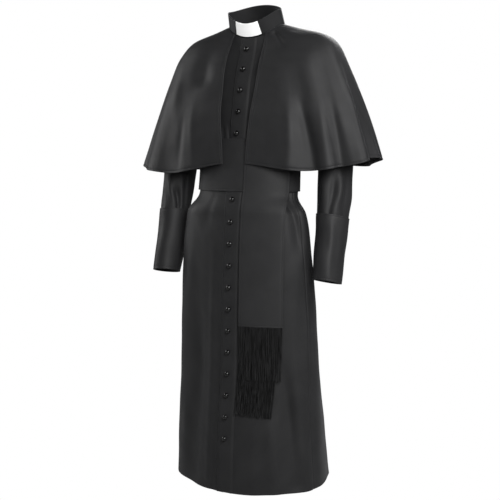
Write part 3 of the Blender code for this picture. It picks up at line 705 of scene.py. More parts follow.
def sleeve_cloth(levels, wider, creases, head, seed):
    """A sleeve's rows with its creases pushed in or out, as the left sleeve."""
    phi = np.linspace(0, 2 * math.pi, SLEEVE_TURNS, endpoint=False)
    points = sleeve_base(phi[None, :], levels[:, None], wider)
    if head:
        rim = armhole_ring(phi, ARMHOLE_DRAWN_IN)
        easing = 14
        start = points[0]
        lead = np.linspace(0, 1, easing)[:-1, None, None]
        points = np.concatenate([rim * (1 - lead) + start * lead, points])
    paths = [crease_path(sleeve_base, SLEEVE_LAST, row, by_height=False) for row in creases]
    push = creased(points, paths) + 0.0009 * ripple(points, 0.075, seed)
    down = lengths(points, 0)
    push = push * np.clip(down / 0.03, 0, 1)
    return points + tube_normals(points) * push[..., None]


sleeve_levels = levels_down(sleeve_base, 0.0, 0.0, CUFF_LEVEL + 0.08, 0.0045, near_low=False)
for side, name, creases, seed in (
    (1, "left", LEFT_SLEEVE_CREASES, 11),
    (-1, "right", RIGHT_SLEEVE_CREASES, 12),
):
    points = sleeve_cloth(sleeve_levels, 0.0, creases, True, seed)
    points = sided(points[:, ::-1], side)
    sleeve = sheet_of("sleeve_" + name + "_cloth", points, body_black, closed=True)
    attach(sleeve, "root")
    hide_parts("sleeve_" + name)

# ---------------------------------------------------------------------------------------------------------
# Cuffs: deep tapering bands of doubled twill, sewn over the sleeve's end with a stitched upper edge, and
# turned in at the wrist.
# ---------------------------------------------------------------------------------------------------------
CUFF_OUT = BODY_WALL + 3 * GAP
CUFF_HEIGHT = 0.189
LEFT_CUFF_CREASES = (
    (22.0, 5.0, 26.0, 5.95, 2.0, 0.008, 0.009, 0.0022, 0.8, 0.5),
    (50.0, 5.0, 48.0, 5.9, 0.0, 0.010, 0.009, -0.0016, 0.6, 0.2),
    (150.0, 5.0, 154.0, 5.9, 3.0, 0.010, 0.010, 0.0018, 0.6, 0.2),
    (230.0, 5.0, 226.0, 5.8, 0.0, 0.010, 0.010, -0.0018, 0.6, 0.2),
)
RIGHT_CUFF_CREASES = (
    (84.0, 5.1, 70.0, 5.9, 0.0, 0.012, 0.012, 0.0016, 0.2, 0.3),
    (20.0, 5.0, 26.0, 5.8, 2.0, 0.010, 0.012, -0.0014, 0.6, 0.2),
    (140.0, 5.0, 146.0, 5.9, -2.0, 0.010, 0.010, -0.0018, 0.6, 0.2),
    (235.0, 5.0, 232.0, 5.8, 0.0, 0.010, 0.010, 0.0018, 0.6, 0.2),
)
cuff_levels = levels_down(sleeve_base, 0.0, CUFF_LEVEL, SLEEVE_LAST, 0.0040)
top_steps = np.interp(EDGE_STEPS, [0, CUFF_HEIGHT], [CUFF_LEVEL, SLEEVE_LAST])
cuff_levels = np.concatenate([top_steps, cuff_levels[cuff_levels > top_steps[-1] + 0.01]])
cuff_black = black_twill("cuff_satin_twill", 0.0080, 0.0215, 0.47, 0.60)
for side, name, creases, seed in ((1, "left", LEFT_CUFF_CREASES, 21), (-1, "right", RIGHT_CUFF_CREASES, 22)):
    points = sleeve_cloth(cuff_levels, CUFF_OUT, creases, False, seed)
    down = lengths(points, 0)
    push = stitched_in(down, 0.0050, 0.0006) + stitched_in(down[-1:] - down, 0.0060, 0.0005)
    points = points + tube_normals(points) * push[..., None]
    points = sided(points[:, ::-1], side)
    cuff = sheet_of("cuff_" + name + "_cloth", points, cuff_black, closed=True)
    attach(cuff, "root")
    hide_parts("cuff_" + name)

# ---------------------------------------------------------------------------------------------------------
# Shoulder cape: one piece of the twill, cut as part of a circle and sewn in at the collar. It lies smooth
# over the shoulders, hangs open in front and flutes towards its stitched hem.
# ---------------------------------------------------------------------------------------------------------
# z_front, z_side, z_back, half_width, front_depth, back_depth, centre_y, dip, drop, lift, power, front_edge
CAPE_RINGS = {
    "neck":     (-0.0325, 0.0055, 0.0225, 0.0885, 0.0490, 0.0575, 0.030, 0.000, 0.000, 0.000, 2.0, 0.050),
    "shoulder": (-0.0630, -0.0100, -0.0120, 0.1380, 0.0650, 0.0840, 0.030, 0.000, 0.000, 0.001, 2.2, 0.054),
    "slope":    (-0.0950, -0.0310, -0.0480, 0.2080, 0.0860, 0.1080, 0.032, 0.000, 0.000, 0.006, 2.4, 0.055),
    "tip":      (-0.1350, -0.0690, -0.0930, 0.2530, 0.1040, 0.1220, 0.034, 0.000, 0.000, 0.012, 2.5, 0.055),
    "upper":    (-0.1850, -0.1450, -0.1650, 0.2900, 0.1190, 0.1400, 0.036, 0.004, 0.000, 0.011, 2.5, 0.053),
    "elbow":    (-0.2590, -0.2500, -0.2550, 0.3310, 0.1460, 0.1600, 0.042, 0.010, 0.004, 0.010, 2.5, 0.048),
    "low":      (-0.3280, -0.3300, -0.3330, 0.3600, 0.1520, 0.1720, 0.042, 0.016, 0.010, 0.010, 2.5, 0.041),
    "hem":      (-0.3940, -0.3930, -0.3980, 0.3820, 0.1500, 0.1830, 0.037, 0.023, 0.015, 0.012, 2.5, 0.0365),
}
CAPE_LAST = len(CAPE_RINGS) - 1
CAPE_STITCH_IN = 0.0060
# angle_deg, width_deg, depth at the hem, first_ring
CAPE_FLUTES = (
    (20.0, 6.0, 0.0080, 2.5),
    (34.0, 5.0, -0.0080, 3.0),
    (43.0, 5.0, 0.0080, 3.0),
    (53.5, 5.0, -0.0110, 3.0),
    (69.0, 7.0, 0.0140, 2.5),
    (86.0, 6.0, -0.0160, 3.0),
    (102.0, 7.0, 0.0060, 3.0),
    (120.0, 8.0, -0.0110, 3.0),
    (139.0, 8.0, 0.0120, 3.0),
    (157.0, 8.0, -0.0100, 3.0),
    (175.0, 8.0, 0.0120, 3.0),
    (-19.0, 7.0, 0.0060, 3.0),
    (-34.0, 7.0, -0.0050, 3.5),
    (-52.0, 8.0, 0.0070, 3.0),
    (-75.0, 7.0, 0.0060, 3.0),
    (-95.0, 7.0, -0.0110, 3.0),
    (-113.0, 8.0, 0.0120, 3.0),
    (-131.0, 8.0, -0.0110, 3.0),
    (-149.0, 8.0, 0.0110, 3.0),
    (-167.0, 7.0, -0.0090, 3.0),
)
CAPE_CREASES = (
    # by the collar seam
    (46.0, -0.022, 27.0, -0.082, 2.0, 0.007, 0.012, -0.0048, 1.0, 0.0),
    (62.0, -0.012, 58.0, -0.046, 0.0, 0.008, 0.014, 0.0016, 0.4, 0.0),
    # right of the opening
    (25.0, -0.190, 22.0, -0.400, 1.0, 0.012, 0.015, 0.0045, 0.0, 0.8),
    (33.0, -0.190, 36.0, -0.405, 0.0, 0.011, 0.015, -0.0065, 0.0, 0.8),
    (47.0, -0.200, 43.0, -0.400, 0.0, 0.010, 0.014, 0.0036, 0.0, 0.6),
    (57.0, -0.200, 54.0, -0.400, 0.0, 0.010, 0.013, -0.0052, 0.0, 0.8),
    (79.0, -0.130, 69.0, -0.390, 0.0, 0.012, 0.014, 0.0055, 0.2, 0.6),
    (92.0, -0.180, 99.0, -0.385, 0.0, 0.014, 0.018, -0.0060, 0.0, 0.9),
    # left of the opening
    (-29.0, -0.090, -21.0, -0.190, 0.0, 0.024, 0.032, -0.0105, 0.4, 0.0),
    (-50.0, -0.125, -35.0, -0.300, 0.0, 0.018, 0.024, 0.0048, 0.2, 0.0),
    (-24.0, -0.200, -16.0, -0.400, 0.0, 0.012, 0.014, 0.0034, 0.0, 0.6),
    (-30.0, -0.240, -26.0, -0.410, 0.0, 0.012, 0.014, -0.0034, 0.0, 0.6),
    # back
    (120.0, -0.110, 121.0, -0.385, 2.0, 0.014, 0.018, -0.0034, 0.0, 0.5),
    (139.0, -0.140, 138.0, -0.390, -1.0, 0.012, 0.016, 0.0030, 0.0, 0.6),
    (174.0, -0.120, 176.0, -0.395, 1.0, 0.014, 0.018, 0.0034, 0.0, 0.6),
    (-150.0, -0.130, -148.0, -0.395, -2.0, 0.014, 0.018, 0.0032, 0.0, 0.6),
    (-131.0, -0.120, -133.0, -0.390, 1.0, 0.012, 0.016, -0.0030, 0.0, 0.6),
    (-112.0, -0.110, -113.0, -0.385, 1.0, 0.012, 0.016, 0.0030, 0.0, 0.6),
    (-94.0, -0.130, -96.0, -0.385, 1.0, 0.012, 0.016, -0.0030, 0.0, 0.6),
)


def cape_base(theta, level):
    """The cape without its creases. A level is a row of its rings, counted from the neck as 0."""
    theta, level = np.broadcast_arrays(theta, level)
    ring = rings_at(CAPE_RINGS, level)
    dip, drop, lift, power = (ring[..., column] for column in range(7, 11))
    point = ring_point(ring, theta, power)
    point[..., 2] += lift * np.sin(theta) - dip * np.sin(2 * theta) ** 2
    point[..., 2] -= drop * bump(np.abs(turn(np.degrees(theta))) - 22.0, 18.0)
    push = np.zeros(theta.shape)
    for angle, width, depth, first in CAPE_FLUTES:
        grown = np.clip((level - first) / (CAPE_LAST - first), 0.0, 1.0)
        push = push + depth * grown * bump(turn(np.degrees(theta) - angle), width)
    point[..., 0] += push * np.sin(theta)
    point[..., 1] -= push * np.cos(theta)
    return point


cape_levels = levels_down(cape_base, 1.1, 0.0, CAPE_LAST, 0.0052)
cape_ring = rings_at(CAPE_RINGS, cape_levels)
half_width, power, front_edge = cape_ring[:, 3], cape_ring[:, 10], cape_ring[:, 11]
open_at = np.arcsin((front_edge / half_width) ** (power / 2))
theta, level, share, width = grid_of(cape_base, open_at, 2 * math.pi - open_at, cape_levels, 340, 241)
points = cape_base(theta, level)
cape_paths = [crease_path(cape_base, CAPE_LAST, row) for row in CAPE_CREASES]
down = lengths(points, 0)
from_edge = np.minimum(share, 1 - share) * width[:, None]
from_hem = down[-1:] - down
push = creased(points, cape_paths) + 0.0008 * ripple(points, 0.10, 31)
push = push * np.clip(down / 0.012, 0, 1)
push = push + stitched_in(from_edge, CAPE_STITCH_IN, 0.0010) + stitched_in(from_hem, CAPE_STITCH_IN, 0.0010)
points = pushed(points, cape_base, theta, level, push)
cape_black = black_twill("cape_satin_twill", 0.0080, 0.0215, 0.47, 0.60)
cape = sheet_of("cape_cloth", points, cape_black)
face = points + outward(cape_base, theta, level) * (WALL + 0.0001)
# down one front, round the hem and down the other front
ways = ((1, False), (0, True), (1, True))
edge_rows = [inside(face, axis, CAPE_STITCH_IN, from_end) for axis, from_end in ways]
edge_rows[0], edge_rows[2] = edge_rows[0][:-1], edge_rows[2][:-1]
cape_stitches = stitched("cape_stitches", edge_rows, 42)
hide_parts("cape")
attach(cape, "root")
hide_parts("cape")

# ---------------------------------------------------------------------------------------------------------
# Collar: a stiff stand of doubled twill with a rounded rim, leaning forward with the neck and open in
# front, and the white plastic tab slipped between its ends.
# ---------------------------------------------------------------------------------------------------------
COLLAR_WALL = 0.0028
COLLAR_FRONT, COLLAR_BACK = 0.0365, 0.0465
COLLAR_LEAN, COLLAR_INWARD, COLLAR_LIFT = 0.016, 0.004, 0.0046
COLLAR_RIM_ROUND = 0.0009
TAB_CENTRE_DEG, TAB_LOW_DEG, TAB_HIGH_DEG = -2.5, 29.0, 26.0


def collar_point(theta, share, inward=0.0):
    """A point on the collar: share is 0 at its base and 1 at its rim."""
    base = body_base(theta, np.zeros(theta.shape))
    ahead = (1 + np.cos(theta)) / 2
    height = COLLAR_BACK + (COLLAR_FRONT - COLLAR_BACK) * ahead
    draw = COLLAR_INWARD * share + inward
    base[..., 0] -= draw * np.sin(theta)
    base[..., 1] += inward * np.cos(theta) - COLLAR_LEAN * share
    base[..., 2] += COLLAR_LIFT + height * share
    return base


def rim_rounded(piece):
    """Softens a stiff piece's cut edges."""
    soft = piece.modifiers.new("soft edge", "BEVEL")
    soft.width = COLLAR_RIM_ROUND
    soft.segments = 3
    soft.limit_method = "ANGLE"
    soft.angle_limit = math.radians(50)
    return piece


# shares of the height, rim first; the last, under the base, is the collar's alone and goes in behind the cape
rise = np.concatenate([[-0.085, 0, 0.035], np.linspace(0.08, 0.92, 12), [0.965, 1.0]])[::-1][:, None]
middle = math.radians(TAB_CENTRE_DEG)
half = np.radians(TAB_LOW_DEG + (TAB_HIGH_DEG - TAB_LOW_DEG) * rise)
end = half + 2 * GAP / 0.08
theta = middle + end + (2 * math.pi - 2 * end) * np.linspace(0, 1, 121)[None, :]
# a darker copy of the body's twill: painted shade for the shadowed inside of the collar stand
collar_black_painted_shade = black_twill("collar_satin_twill_painted_shade", 0.0060, 0.0160, 0.46, 0.58)
points = collar_point(theta, np.broadcast_to(rise, theta.shape))
collar = rim_rounded(sheet_of("collar_stand", points, collar_black_painted_shade, COLLAR_WALL))
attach(collar, "root")
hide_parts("collar")


def white_plastic(name):
    """Smooth white plastic with a faint unevenness in its gloss."""
    made, tree, shader = material_of(name, {"IOR": 1.49, "Subsurface Weight": 0.0})
    place = add(tree, "ShaderNodeTexCoord").outputs["Object"]
    uneven = add(tree, "ShaderNodeTexNoise", {"Scale": 120.0, "Detail": 3.0, "Vector": place}).outputs["Fac"]
    feed(tree, shader, {
        "Base Color": between_colours(tree, uneven, (0.92, 0.92, 0.91), (0.95, 0.95, 0.94)),
        "Roughness": between_values(tree, uneven, 0.34, 0.48),
    })
    return made


theta = middle + half * np.linspace(-1, 1, 31)[None, :]
points = collar_point(theta[:-1], np.broadcast_to(rise[:-1], theta[:-1].shape), 0.0004)
tab = rim_rounded(sheet_of("collar_tab_plastic", points, white_plastic("white_plastic"), COLLAR_WALL))
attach(tab, "root")
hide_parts("collar_tab")

# ---------------------------------------------------------------------------------------------------------
# Sash: a wide band of heavier twill folded round the waist and fastened at the side, under the tails. It
# has a turned edge above and below and a slight pull across.
# ---------------------------------------------------------------------------------------------------------
SASH_OUT = BAND_OUT + BODY_WALL + GAP
SASH_TOP, SASH_LOW = -0.327, -0.480
SASH_CREASES = (
    (-70.0, -0.380, -14.0, -0.398, 0.0, 0.010, 0.014, -0.0011, 0.0, 0.0),
    (-60.0, -0.445, -8.0, -0.430, 0.0, 0.012, 0.016, 0.0010, 0.0, 0.0),
    (-30.0, -0.360, 20.0, -0.372, 0.0, 0.008, 0.012, -0.0009, 0.0, 0.0),
    (80.0, -0.400, 160.0, -0.390, 0.0, 0.010, 0.016, -0.0014, 0.0, 0.0),
    (110.0, -0.450, 200.0, -0.460, 0.0, 0.010, 0.016, 0.0012, 0.0, 0.0),
    (-160.0, -0.380, -90.0, -0.400, 0.0, 0.010, 0.016, -0.0014, 0.0, 0.0),
    (-150.0, -0.460, -100.0, -0.440, 0.0, 0.010, 0.014, 0.0012, 0.0, 0.0),
)
sash_first, sash_last = level_of(body_base, BODY_LAST, [0.0, 0.0], [SASH_TOP, SASH_LOW])
sash_levels = levels_down(body_base, 0.0, sash_first, sash_last, 0.0050)
top_steps = np.interp(EDGE_STEPS, [0, SASH_TOP - SASH_LOW], [sash_first, sash_last])
sash_levels = np.concatenate([top_steps, sash_levels[sash_levels > top_steps[-1] + 0.01]])
theta = np.linspace(0, 2 * math.pi, 200, endpoint=False)[None, :] + 0 * sash_levels[:, None]
level = sash_levels[:, None] + 0 * theta
points = body_base(theta, level)
sash_paths = [crease_path(body_base, BODY_LAST, row) for row in SASH_CREASES]
down = lengths(points, 0)
push = SASH_OUT + creased(points, sash_paths) + 0.0003 * (1 + ripple(points, 0.09, 41))
push = push + stitched_in(down, 0.0050, 0.0004) + stitched_in(down[-1:] - down, 0.0050, 0.0004)
points = pushed(points, body_base, theta, level, push)
sash_black = black_twill("sash_satin_twill", 0.0095, 0.0245, 0.50, 0.64)
sash_band = sheet_of("sash_band_cloth", points, sash_black, closed=True)
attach(sash_band, "root")
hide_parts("sash_band")

# ---------------------------------------------------------------------------------------------------------
# Sash tails: two long straight strips of the same twill, sewn inside the band at the wearer's left front
# and hanging one over the other, the under one longer.
# ---------------------------------------------------------------------------------------------------------
TAIL_UNDER_OUT = SASH_OUT + BODY_WALL + 3 * GAP
TAIL_OVER_OUT = TAIL_UNDER_OUT + BODY_WALL + 3 * GAP
TAIL_TOP, TAIL_ROW = -0.336, 0.0532
# edge_top, edge_low, width, cloth_rows, fringe_rows
TAIL_OVER = (0.031, 0.036, 0.127, 10, 3)
TAIL_UNDER = (0.049, 0.026, 0.112, 12, 3)


def tail_places(tail, rows, share):
    """Angles and levels of a tail's grid: rows are counted down from its top, share goes across it."""
    edge_top, edge_low, width, cloth_rows, fringe_rows = tail
    turns = np.linspace(0, math.pi / 2 + 0.6, 400)
    theta, level = [], []
    for row, part in zip(rows, share):
        at_level = float(level_of(body_base, BODY_LAST, 0.0, TAIL_TOP - TAIL_ROW * row)[0])
        line = body_base(turns, np.full(turns.shape, at_level))
        run = np.concatenate([[0], np.cumsum(np.linalg.norm(np.diff(line, axis=0), axis=1))])
        edge = edge_top + (edge_low - edge_top) * (row / (cloth_rows + fringe_rows)) ** 2
        theta.append(np.interp(edge + width * part, run, turns))
        level.append(np.full(part.shape, at_level))
    return np.array(theta), np.array(level)


def tail_sheet(name, tail, out, seed, sag):
    """A tail's cloth: flat, with turned edges and a slow waviness down its length."""
    cloth_rows = tail[3]
    marks = np.linspace(0, cloth_rows - 0.2, cloth_rows * 9)
    marks = np.concatenate([marks[:-1], cloth_rows - EDGE_STEPS[::-1] / TAIL_ROW])
    share = across(np.full(marks.shape, tail[2]), 20)
    theta, level = tail_places(tail, marks, share)
    points = body_base(theta, level)
    from_edge = np.minimum(share, 1 - share) * tail[2]
    from_low = (cloth_rows - marks)[:, None] * TAIL_ROW + 0 * share
    push = out + sag * ripple(points, 0.16, seed) + stitched_in(from_edge, 0.0050, 0.0004)
    push = push + stitched_in(from_low, 0.0056, 0.0005)
    return sheet_of(name, pushed(points, body_base, theta, level, push), sash_black)


tail_under = tail_sheet("sash_tail_under_cloth", TAIL_UNDER, TAIL_UNDER_OUT, 51, 0.0003)
tail_over = tail_sheet("sash_tail_over_cloth", TAIL_OVER, TAIL_OVER_OUT + 0.0004, 52, 0.0005)

# ---------------------------------------------------------------------------------------------------------
# Fringes: soft twisted rayon strands sewn under the end of each tail, in rows one behind another, hanging
# straight and drawn together a little towards their cut ends.
# ---------------------------------------------------------------------------------------------------------
STRAND_RADIUS = 0.00075
STRAND_PITCH = 0.0019


def fringe_tree():
    """Strands along lines: each line sways a little, more towards its end, and gets its thickness."""
    tree, taken, given = group_of(
        "hang strands", "GeometryNodeTree",
        {"Geometry": "Geometry", "Radius": "Float", "Sway": "Float", "Seed": "Int", "Material": "Material"},
        {"Geometry": "Geometry"},
    )
    line = add(tree, "GeometryNodeMeshToCurve", {"Mesh": taken["Geometry"]})
    along = add(tree, "GeometryNodeSplineParameter").outputs["Factor"]
    growth = add(tree, "ShaderNodeMath", {0: along, 1: 0.8}, operation="POWER").outputs[0]
    amount = add(tree, "ShaderNodeMath", {0: growth, 1: taken["Sway"]}, operation="MULTIPLY").outputs[0]
    uneven = add(
        tree, "ShaderNodeTexNoise", {"Scale": 70.0, "Detail": 2.0, "W": taken["Seed"]}, noise_dimensions="4D"
    ).outputs["Color"]
    # the noise is centred on nothing, flattened so that strands sway mostly sideways, and grown along each
    shift = uneven
    for operation, by in (
        ("SUBTRACT", {1: (0.5, 0.5, 0.5)}),
        ("MULTIPLY", {1: (1.0, 0.35, 0.3)}),
        ("SCALE", {"Scale": amount}),
    ):
        shift = add(tree, "ShaderNodeVectorMath", {0: shift, **by}, operation=operation).outputs[0]
    swayed = add(tree, "GeometryNodeSetPosition", {"Geometry": line.outputs["Curve"], "Offset": shift})
    ring = add(tree, "GeometryNodeCurvePrimitiveCircle", {"Resolution": 5, "Radius": taken["Radius"]})
    solid = add(tree, "GeometryNodeCurveToMesh", {
        "Fill Caps": True,
        "Curve": swayed.outputs["Geometry"],
        "Profile Curve": ring.outputs["Curve"],
    })
    return finished_tree(tree, solid.outputs["Mesh"], taken, given)


def strand_yarn(name):
    """Soft black rayon: dull, with the fine slanting lines of its twist."""
    made, tree, shader = material_of(name, {"Specular IOR Level": 0.15})
    place = add(tree, "ShaderNodeTexCoord").outputs["Object"]
    twist = add(tree, "ShaderNodeTexWave", {"Scale": 160.0, "Vector": place}, bands_direction="DIAGONAL")
    along = add(tree, "ShaderNodeMapping", {"Scale": (1.0, 1.0, 0.05), "Vector": place}).outputs["Vector"]
    tone = add(tree, "ShaderNodeTexNoise", {"Scale": 420.0, "Detail": 1.0, "Vector": along}).outputs["Fac"]
    shade = between_values(tree, tone, 0.0, 1.0, 0.36, 0.66)
    feed(tree, shader, {
        "Base Color": between_colours(tree, shade, (0.0012, 0.0012, 0.0012), (0.0160, 0.0160, 0.0165)),
        "Roughness": between_values(tree, tone, 0.55, 0.8),
        "Normal": raised(tree, twist.outputs["Fac"], 0.5),
    })
    return made


fringe_black = strand_yarn("fringe_yarn")
strands = fringe_tree()


def fringe(name, tail, out, layers, seed, narrow, slant):
    """Rows of strands hanging from a tail's end, over the reach of its fringe."""
    cloth_rows, fringe_rows = tail[3:]
    dice = np.random.default_rng(seed)
    count = round(tail[2] / STRAND_PITCH)
    steps = 12
    points = []
    for layer in range(layers):
        begin = (np.arange(count) + 0.5 + 0.5 * (layer % 2)) / (count + 0.5)
        # neighbours gather into tufts towards their ends
        tuft = np.cumsum(dice.random(count) < 0.34)
        middle = np.array([begin[tuft == t].mean() for t in tuft])
        finish = begin + (middle - begin) * 0.55 + (0.5 - begin) * narrow + dice.normal(0, 0.002, count)
        reach = fringe_rows - 0.10 + slant * (begin - 0.5) + dice.uniform(-0.07, 0.05, count)
        for start, stop, length in zip(begin, finish, reach):
            t = np.linspace(0, 1, steps)
            share = np.clip(start + (stop - start) * t, 0.004, 0.996)
            points.append((share, cloth_rows - 0.04 + (length + 0.04) * t, layer))
    rows = np.array([p[1] for p in points])
    share = np.array([p[0] for p in points])
    theta = np.zeros(rows.shape)
    level = np.zeros(rows.shape)
    # the strands' angles and levels are read from a coarse grid over the tail's lower end
    marks = np.linspace(cloth_rows - 0.3, cloth_rows + fringe_rows, 24)
    columns = 40
    ways = np.linspace(0, 1, columns + 1)
    grid_theta, grid_level = tail_places(tail, marks, [ways] * len(marks))
    place = (rows - marks[0]) / (marks[-1] - marks[0]) * (len(marks) - 1)
    low = np.clip(place.astype(int), 0, len(marks) - 2)
    part = place - low
    for grid, filled in ((grid_theta, theta), (grid_level, level)):
        column = share * columns
        left = np.clip(column.astype(int), 0, columns - 1)
        side = column - left
        upper = grid[low, left] * (1 - side) + grid[low, left + 1] * side
        lower = grid[low + 1, left] * (1 - side) + grid[low + 1, left + 1] * side
        filled[:] = upper * (1 - part) + lower * part
    layer = np.array([p[2] for p in points])[:, None] + 0 * rows
    depth = out + STRAND_RADIUS + 0.0016 * layer
    place = pushed(body_base(theta, level), body_base, theta, level, depth)
    mesh = bpy.data.meshes.new(name + "_lines")
    first = np.arange(len(place))[:, None] * steps + np.arange(steps - 1)[None, :]
    edges = np.stack([first, first + 1], -1).reshape(-1, 2)
    mesh.from_pydata(place.reshape(-1, 3).tolist(), edges.tolist(), [])
    values = {"Radius": STRAND_RADIUS, "Sway": 0.009, "Seed": seed, "Material": fringe_black}
    piece = grown(name, mesh, strands, values)
    piece.data.shade_smooth()
    return piece


fringe_under = fringe("fringe_under_strands", TAIL_UNDER, TAIL_UNDER_OUT - 0.0005, 2, 61, 0.02, 0.10)
fringe_over = fringe("fringe_over_strands", TAIL_OVER, TAIL_OVER_OUT + 0.0002, 2, 62, 0.04, 0.0)
for tail, threads, name, flat in (
    (tail_under, fringe_under, "under", (0.112, 0.675)),
    (tail_over, fringe_over, "over", (0.127, 0.572)),
):
    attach(tail, "root")
    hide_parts("sash_tail_" + name)
    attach(threads, "root")
    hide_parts("fringe_" + name)

# ---------------------------------------------------------------------------------------------------------
# Buttons: seventeen glossy black ball buttons, a little flattened, each with a turned ring round its crown,
# sewn on a short shank down the middle of the band.
# ---------------------------------------------------------------------------------------------------------
BUTTON_RADIUS, BUTTON_FLAT = 0.0075, 0.80
UPPER_BUTTONS = (-0.068, -0.128, -0.188, -0.250, -0.3125)
LOWER_BUTTON_TOP, LOWER_BUTTON_PITCH, LOWER_BUTTONS = -0.504, 0.0633, 12
# Profile of a button from its back to its crown, as shares of its radius: radius, height
BUTTON_PROFILE = (
    (0.00, -0.98), (0.20, -0.97), (0.24, -0.90), (0.45, -0.80), (0.74, -0.55), (0.93, -0.22), (1.00, 0.06),
    (0.96, 0.32), (0.84, 0.56), (0.70, 0.72), (0.64, 0.745), (0.60, 0.79), (0.44, 0.90), (0.24, 0.975),
    (0.00, 1.00),
)


def button_gloss(name):
    """Polished black resin with fine handling marks."""
    made, tree, shader = material_of(name, {"IOR": 1.54, "Specular IOR Level": 0.35})
    place = add(tree, "ShaderNodeTexCoord").outputs["Object"]
    marks = add(tree, "ShaderNodeTexNoise", {"Scale": 500.0, "Detail": 4.0, "Vector": place}).outputs["Fac"]
    feed(tree, shader, {
        "Base Color": between_colours(tree, marks, (0.002, 0.002, 0.002), (0.005, 0.005, 0.005)),
        "Roughness": between_values(tree, marks, 0.05, 0.12, 0.35, 0.75),
    })
    return made


resin = button_gloss("polished_black_resin")
heights = list(UPPER_BUTTONS) + [LOWER_BUTTON_TOP - LOWER_BUTTON_PITCH * i for i in range(LOWER_BUTTONS)]
profile = np.array(BUTTON_PROFILE)
profile = spline(profile, np.linspace(0, len(profile) - 1, 29))
spin = np.linspace(0, 2 * math.pi, 32, endpoint=False)
for number, z in enumerate(heights, 1):
    at = level_of(body_base, BODY_LAST, 0.0, z)
    facing = outward(body_base, np.zeros(1), at)[0]
    seat = body_cloth(np.zeros((1, 1)), at[None, :], BAND_OUT + BODY_WALL + BUTTON_RADIUS * BUTTON_FLAT)[0, 0]
    side = np.cross(facing, [0.0, 0.0, 1.0])
    side /= np.linalg.norm(side)
    up = np.cross(side, facing)
    rim = np.cos(spin)[:, None] * side + np.sin(spin)[:, None] * up
    high = facing * BUTTON_RADIUS * BUTTON_FLAT
    rings = [seat + rim * radius * BUTTON_RADIUS + height * high for radius, height in profile[1:-1]]
    poles = [seat + height * high for height in (profile[0, 1], profile[-1, 1])]
    points = np.concatenate([np.array(rings).reshape(-1, 3), np.array(poles)])
    faces = []
    n, last = len(spin), (len(rings) - 1) * len(spin)
    base, crown = len(points) - 2, len(points) - 1
    for c in range(n):
        after = (c + 1) % n
        faces += [(r + c, r + after, r + n + after, r + n + c) for r in range(0, last, n)]
        faces += [(base, after, c), (crown, last + c, last + after)]
    mesh = bpy.data.meshes.new(f"button_{number:02d}_ball")
    mesh.from_pydata(points.tolist(), [], faces)
    mesh.materials.append(resin)
    mesh.shade_smooth()
    button = bpy.data.objects.new(mesh.name, mesh)
    bpy.context.scene.collection.objects.link(button)
    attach(button, "root")
    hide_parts(f"button_{number:02d}")

# ---------------------------------------------------------------------------------------------------------
# Studio: a plain pale floor and surround, the brightest soft light in front at the wearer's left, one at
# each side, a weak one in front and a high one behind, and the camera a little to the wearer's left.
# ---------------------------------------------------------------------------------------------------------
FLOOR_Z, FLOOR_HALF = -1.42, 9.0
floor_mesh = bpy.data.meshes.new("floor")
corners = [(x * FLOOR_HALF, y * FLOOR_HALF, FLOOR_Z) for x, y in ((-1, -1), (1, -1), (1, 1), (-1, 1))]
floor_mesh.from_pydata(corners, [], [(0, 1, 2, 3)])
floor = bpy.data.objects.new("floor", floor_mesh)
bpy.context.scene.collection.objects.link(floor)
PALE_SEEN = 1.0
PALE_LIGHT = 0.035


def pale_and_bright(tree, plain, given, kind):
    """Makes a surround look evenly white in the picture without flooding the dark cloth with its light."""
    seen = add(tree, "ShaderNodeLightPath").outputs["Is Camera Ray"]
    white = add(tree, kind, {"Color": (1.0, 1.0, 1.0, 1.0), "Strength": PALE_SEEN})
    choice = add(tree, "ShaderNodeMixShader", {"Fac": seen, 1: plain.outputs[0], 2: white.outputs[0]})
    tree.links.new(choice.outputs[0], given.inputs["Surface"])


pale, tree, shader = material_of("pale_floor", {"Base Color": (0.4, 0.4, 0.4, 1.0), "Roughness": 0.9})
pale_and_bright(tree, shader, tree.nodes["Material Output"], "ShaderNodeEmission")
floor_mesh.materials.append(pale)

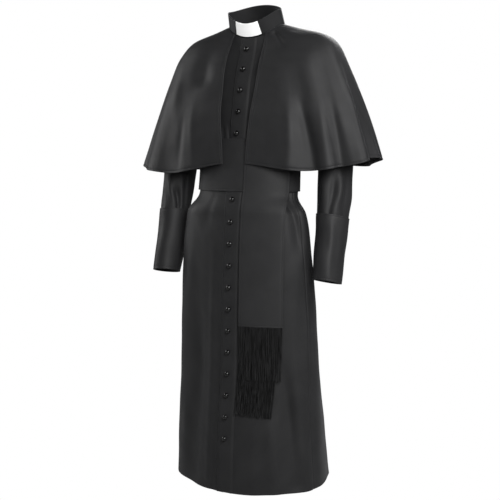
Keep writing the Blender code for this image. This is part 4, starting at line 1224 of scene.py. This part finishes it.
world = bpy.data.worlds.new("studio")
bpy.context.scene.world = world
world.use_nodes = True
tree = world.node_tree
around = tree.nodes["Background"]
feed(tree, around, {"Color": (1.0, 1.0, 1.0, 1.0), "Strength": PALE_LIGHT})
pale_and_bright(tree, around, tree.nodes["World Output"], "ShaderNodeBackground")

# Soft lights, each aimed at the hips: degrees round from the front towards the wearer's left,
# degrees up, metres off, width, height and watts
TARGET = Vector((0.0, 0.0, -0.62))
for name, azimuth, rise_deg, distance, size_x, size_y, power in (
    ("side_left", -82.0, 20.0, 2.6, 1.4, 1.8, 34.0),
    ("side_right", 92.0, 40.0, 2.6, 0.9, 1.2, 40.0),
    ("key_right", 42.0, 24.0, 2.8, 1.1, 1.3, 84.0),
    ("front_fill", 10.0, 14.0, 3.0, 1.0, 1.2, 9.0),
    ("high_back", 190.0, 38.0, 3.2, 1.8, 1.8, 70.0),
):
    lamp = bpy.data.lights.new(name, "AREA")
    lamp.shape = "RECTANGLE"
    lamp.size, lamp.size_y = size_x, size_y
    lamp.energy = power
    light = bpy.data.objects.new(name, lamp)
    turned, risen = math.radians(azimuth), math.radians(rise_deg)
    flat = distance * math.cos(risen)
    light.location = TARGET + Vector((
        flat * math.sin(turned), -flat * math.cos(turned), distance * math.sin(risen)
    ))
    light.rotation_euler = (TARGET - light.location).to_track_quat("-Z", "Y").to_euler()
    bpy.context.scene.collection.objects.link(light)

bpy.context.scene.view_settings.view_transform = "Standard"

CAMERA_AZIMUTH, CAMERA_DISTANCE, CAMERA_Z, CAMERA_PITCH = math.radians(28.0), 3.0, -0.3307, math.radians(6.28)
lens = bpy.data.cameras.new("camera")
lens.lens, lens.sensor_width = 72.0, 36.0
lens.shift_x = -0.004
camera = bpy.data.objects.new("camera", lens)
camera.location = (
    CAMERA_DISTANCE * math.sin(CAMERA_AZIMUTH), -CAMERA_DISTANCE * math.cos(CAMERA_AZIMUTH), CAMERA_Z
)
ahead = Vector((
    -math.sin(CAMERA_AZIMUTH) * math.cos(CAMERA_PITCH),
    math.cos(CAMERA_AZIMUTH) * math.cos(CAMERA_PITCH),
    -math.sin(CAMERA_PITCH),
))
camera.rotation_euler = ahead.to_track_quat("-Z", "Y").to_euler()
bpy.context.scene.collection.objects.link(camera)
bpy.context.scene.camera = camera
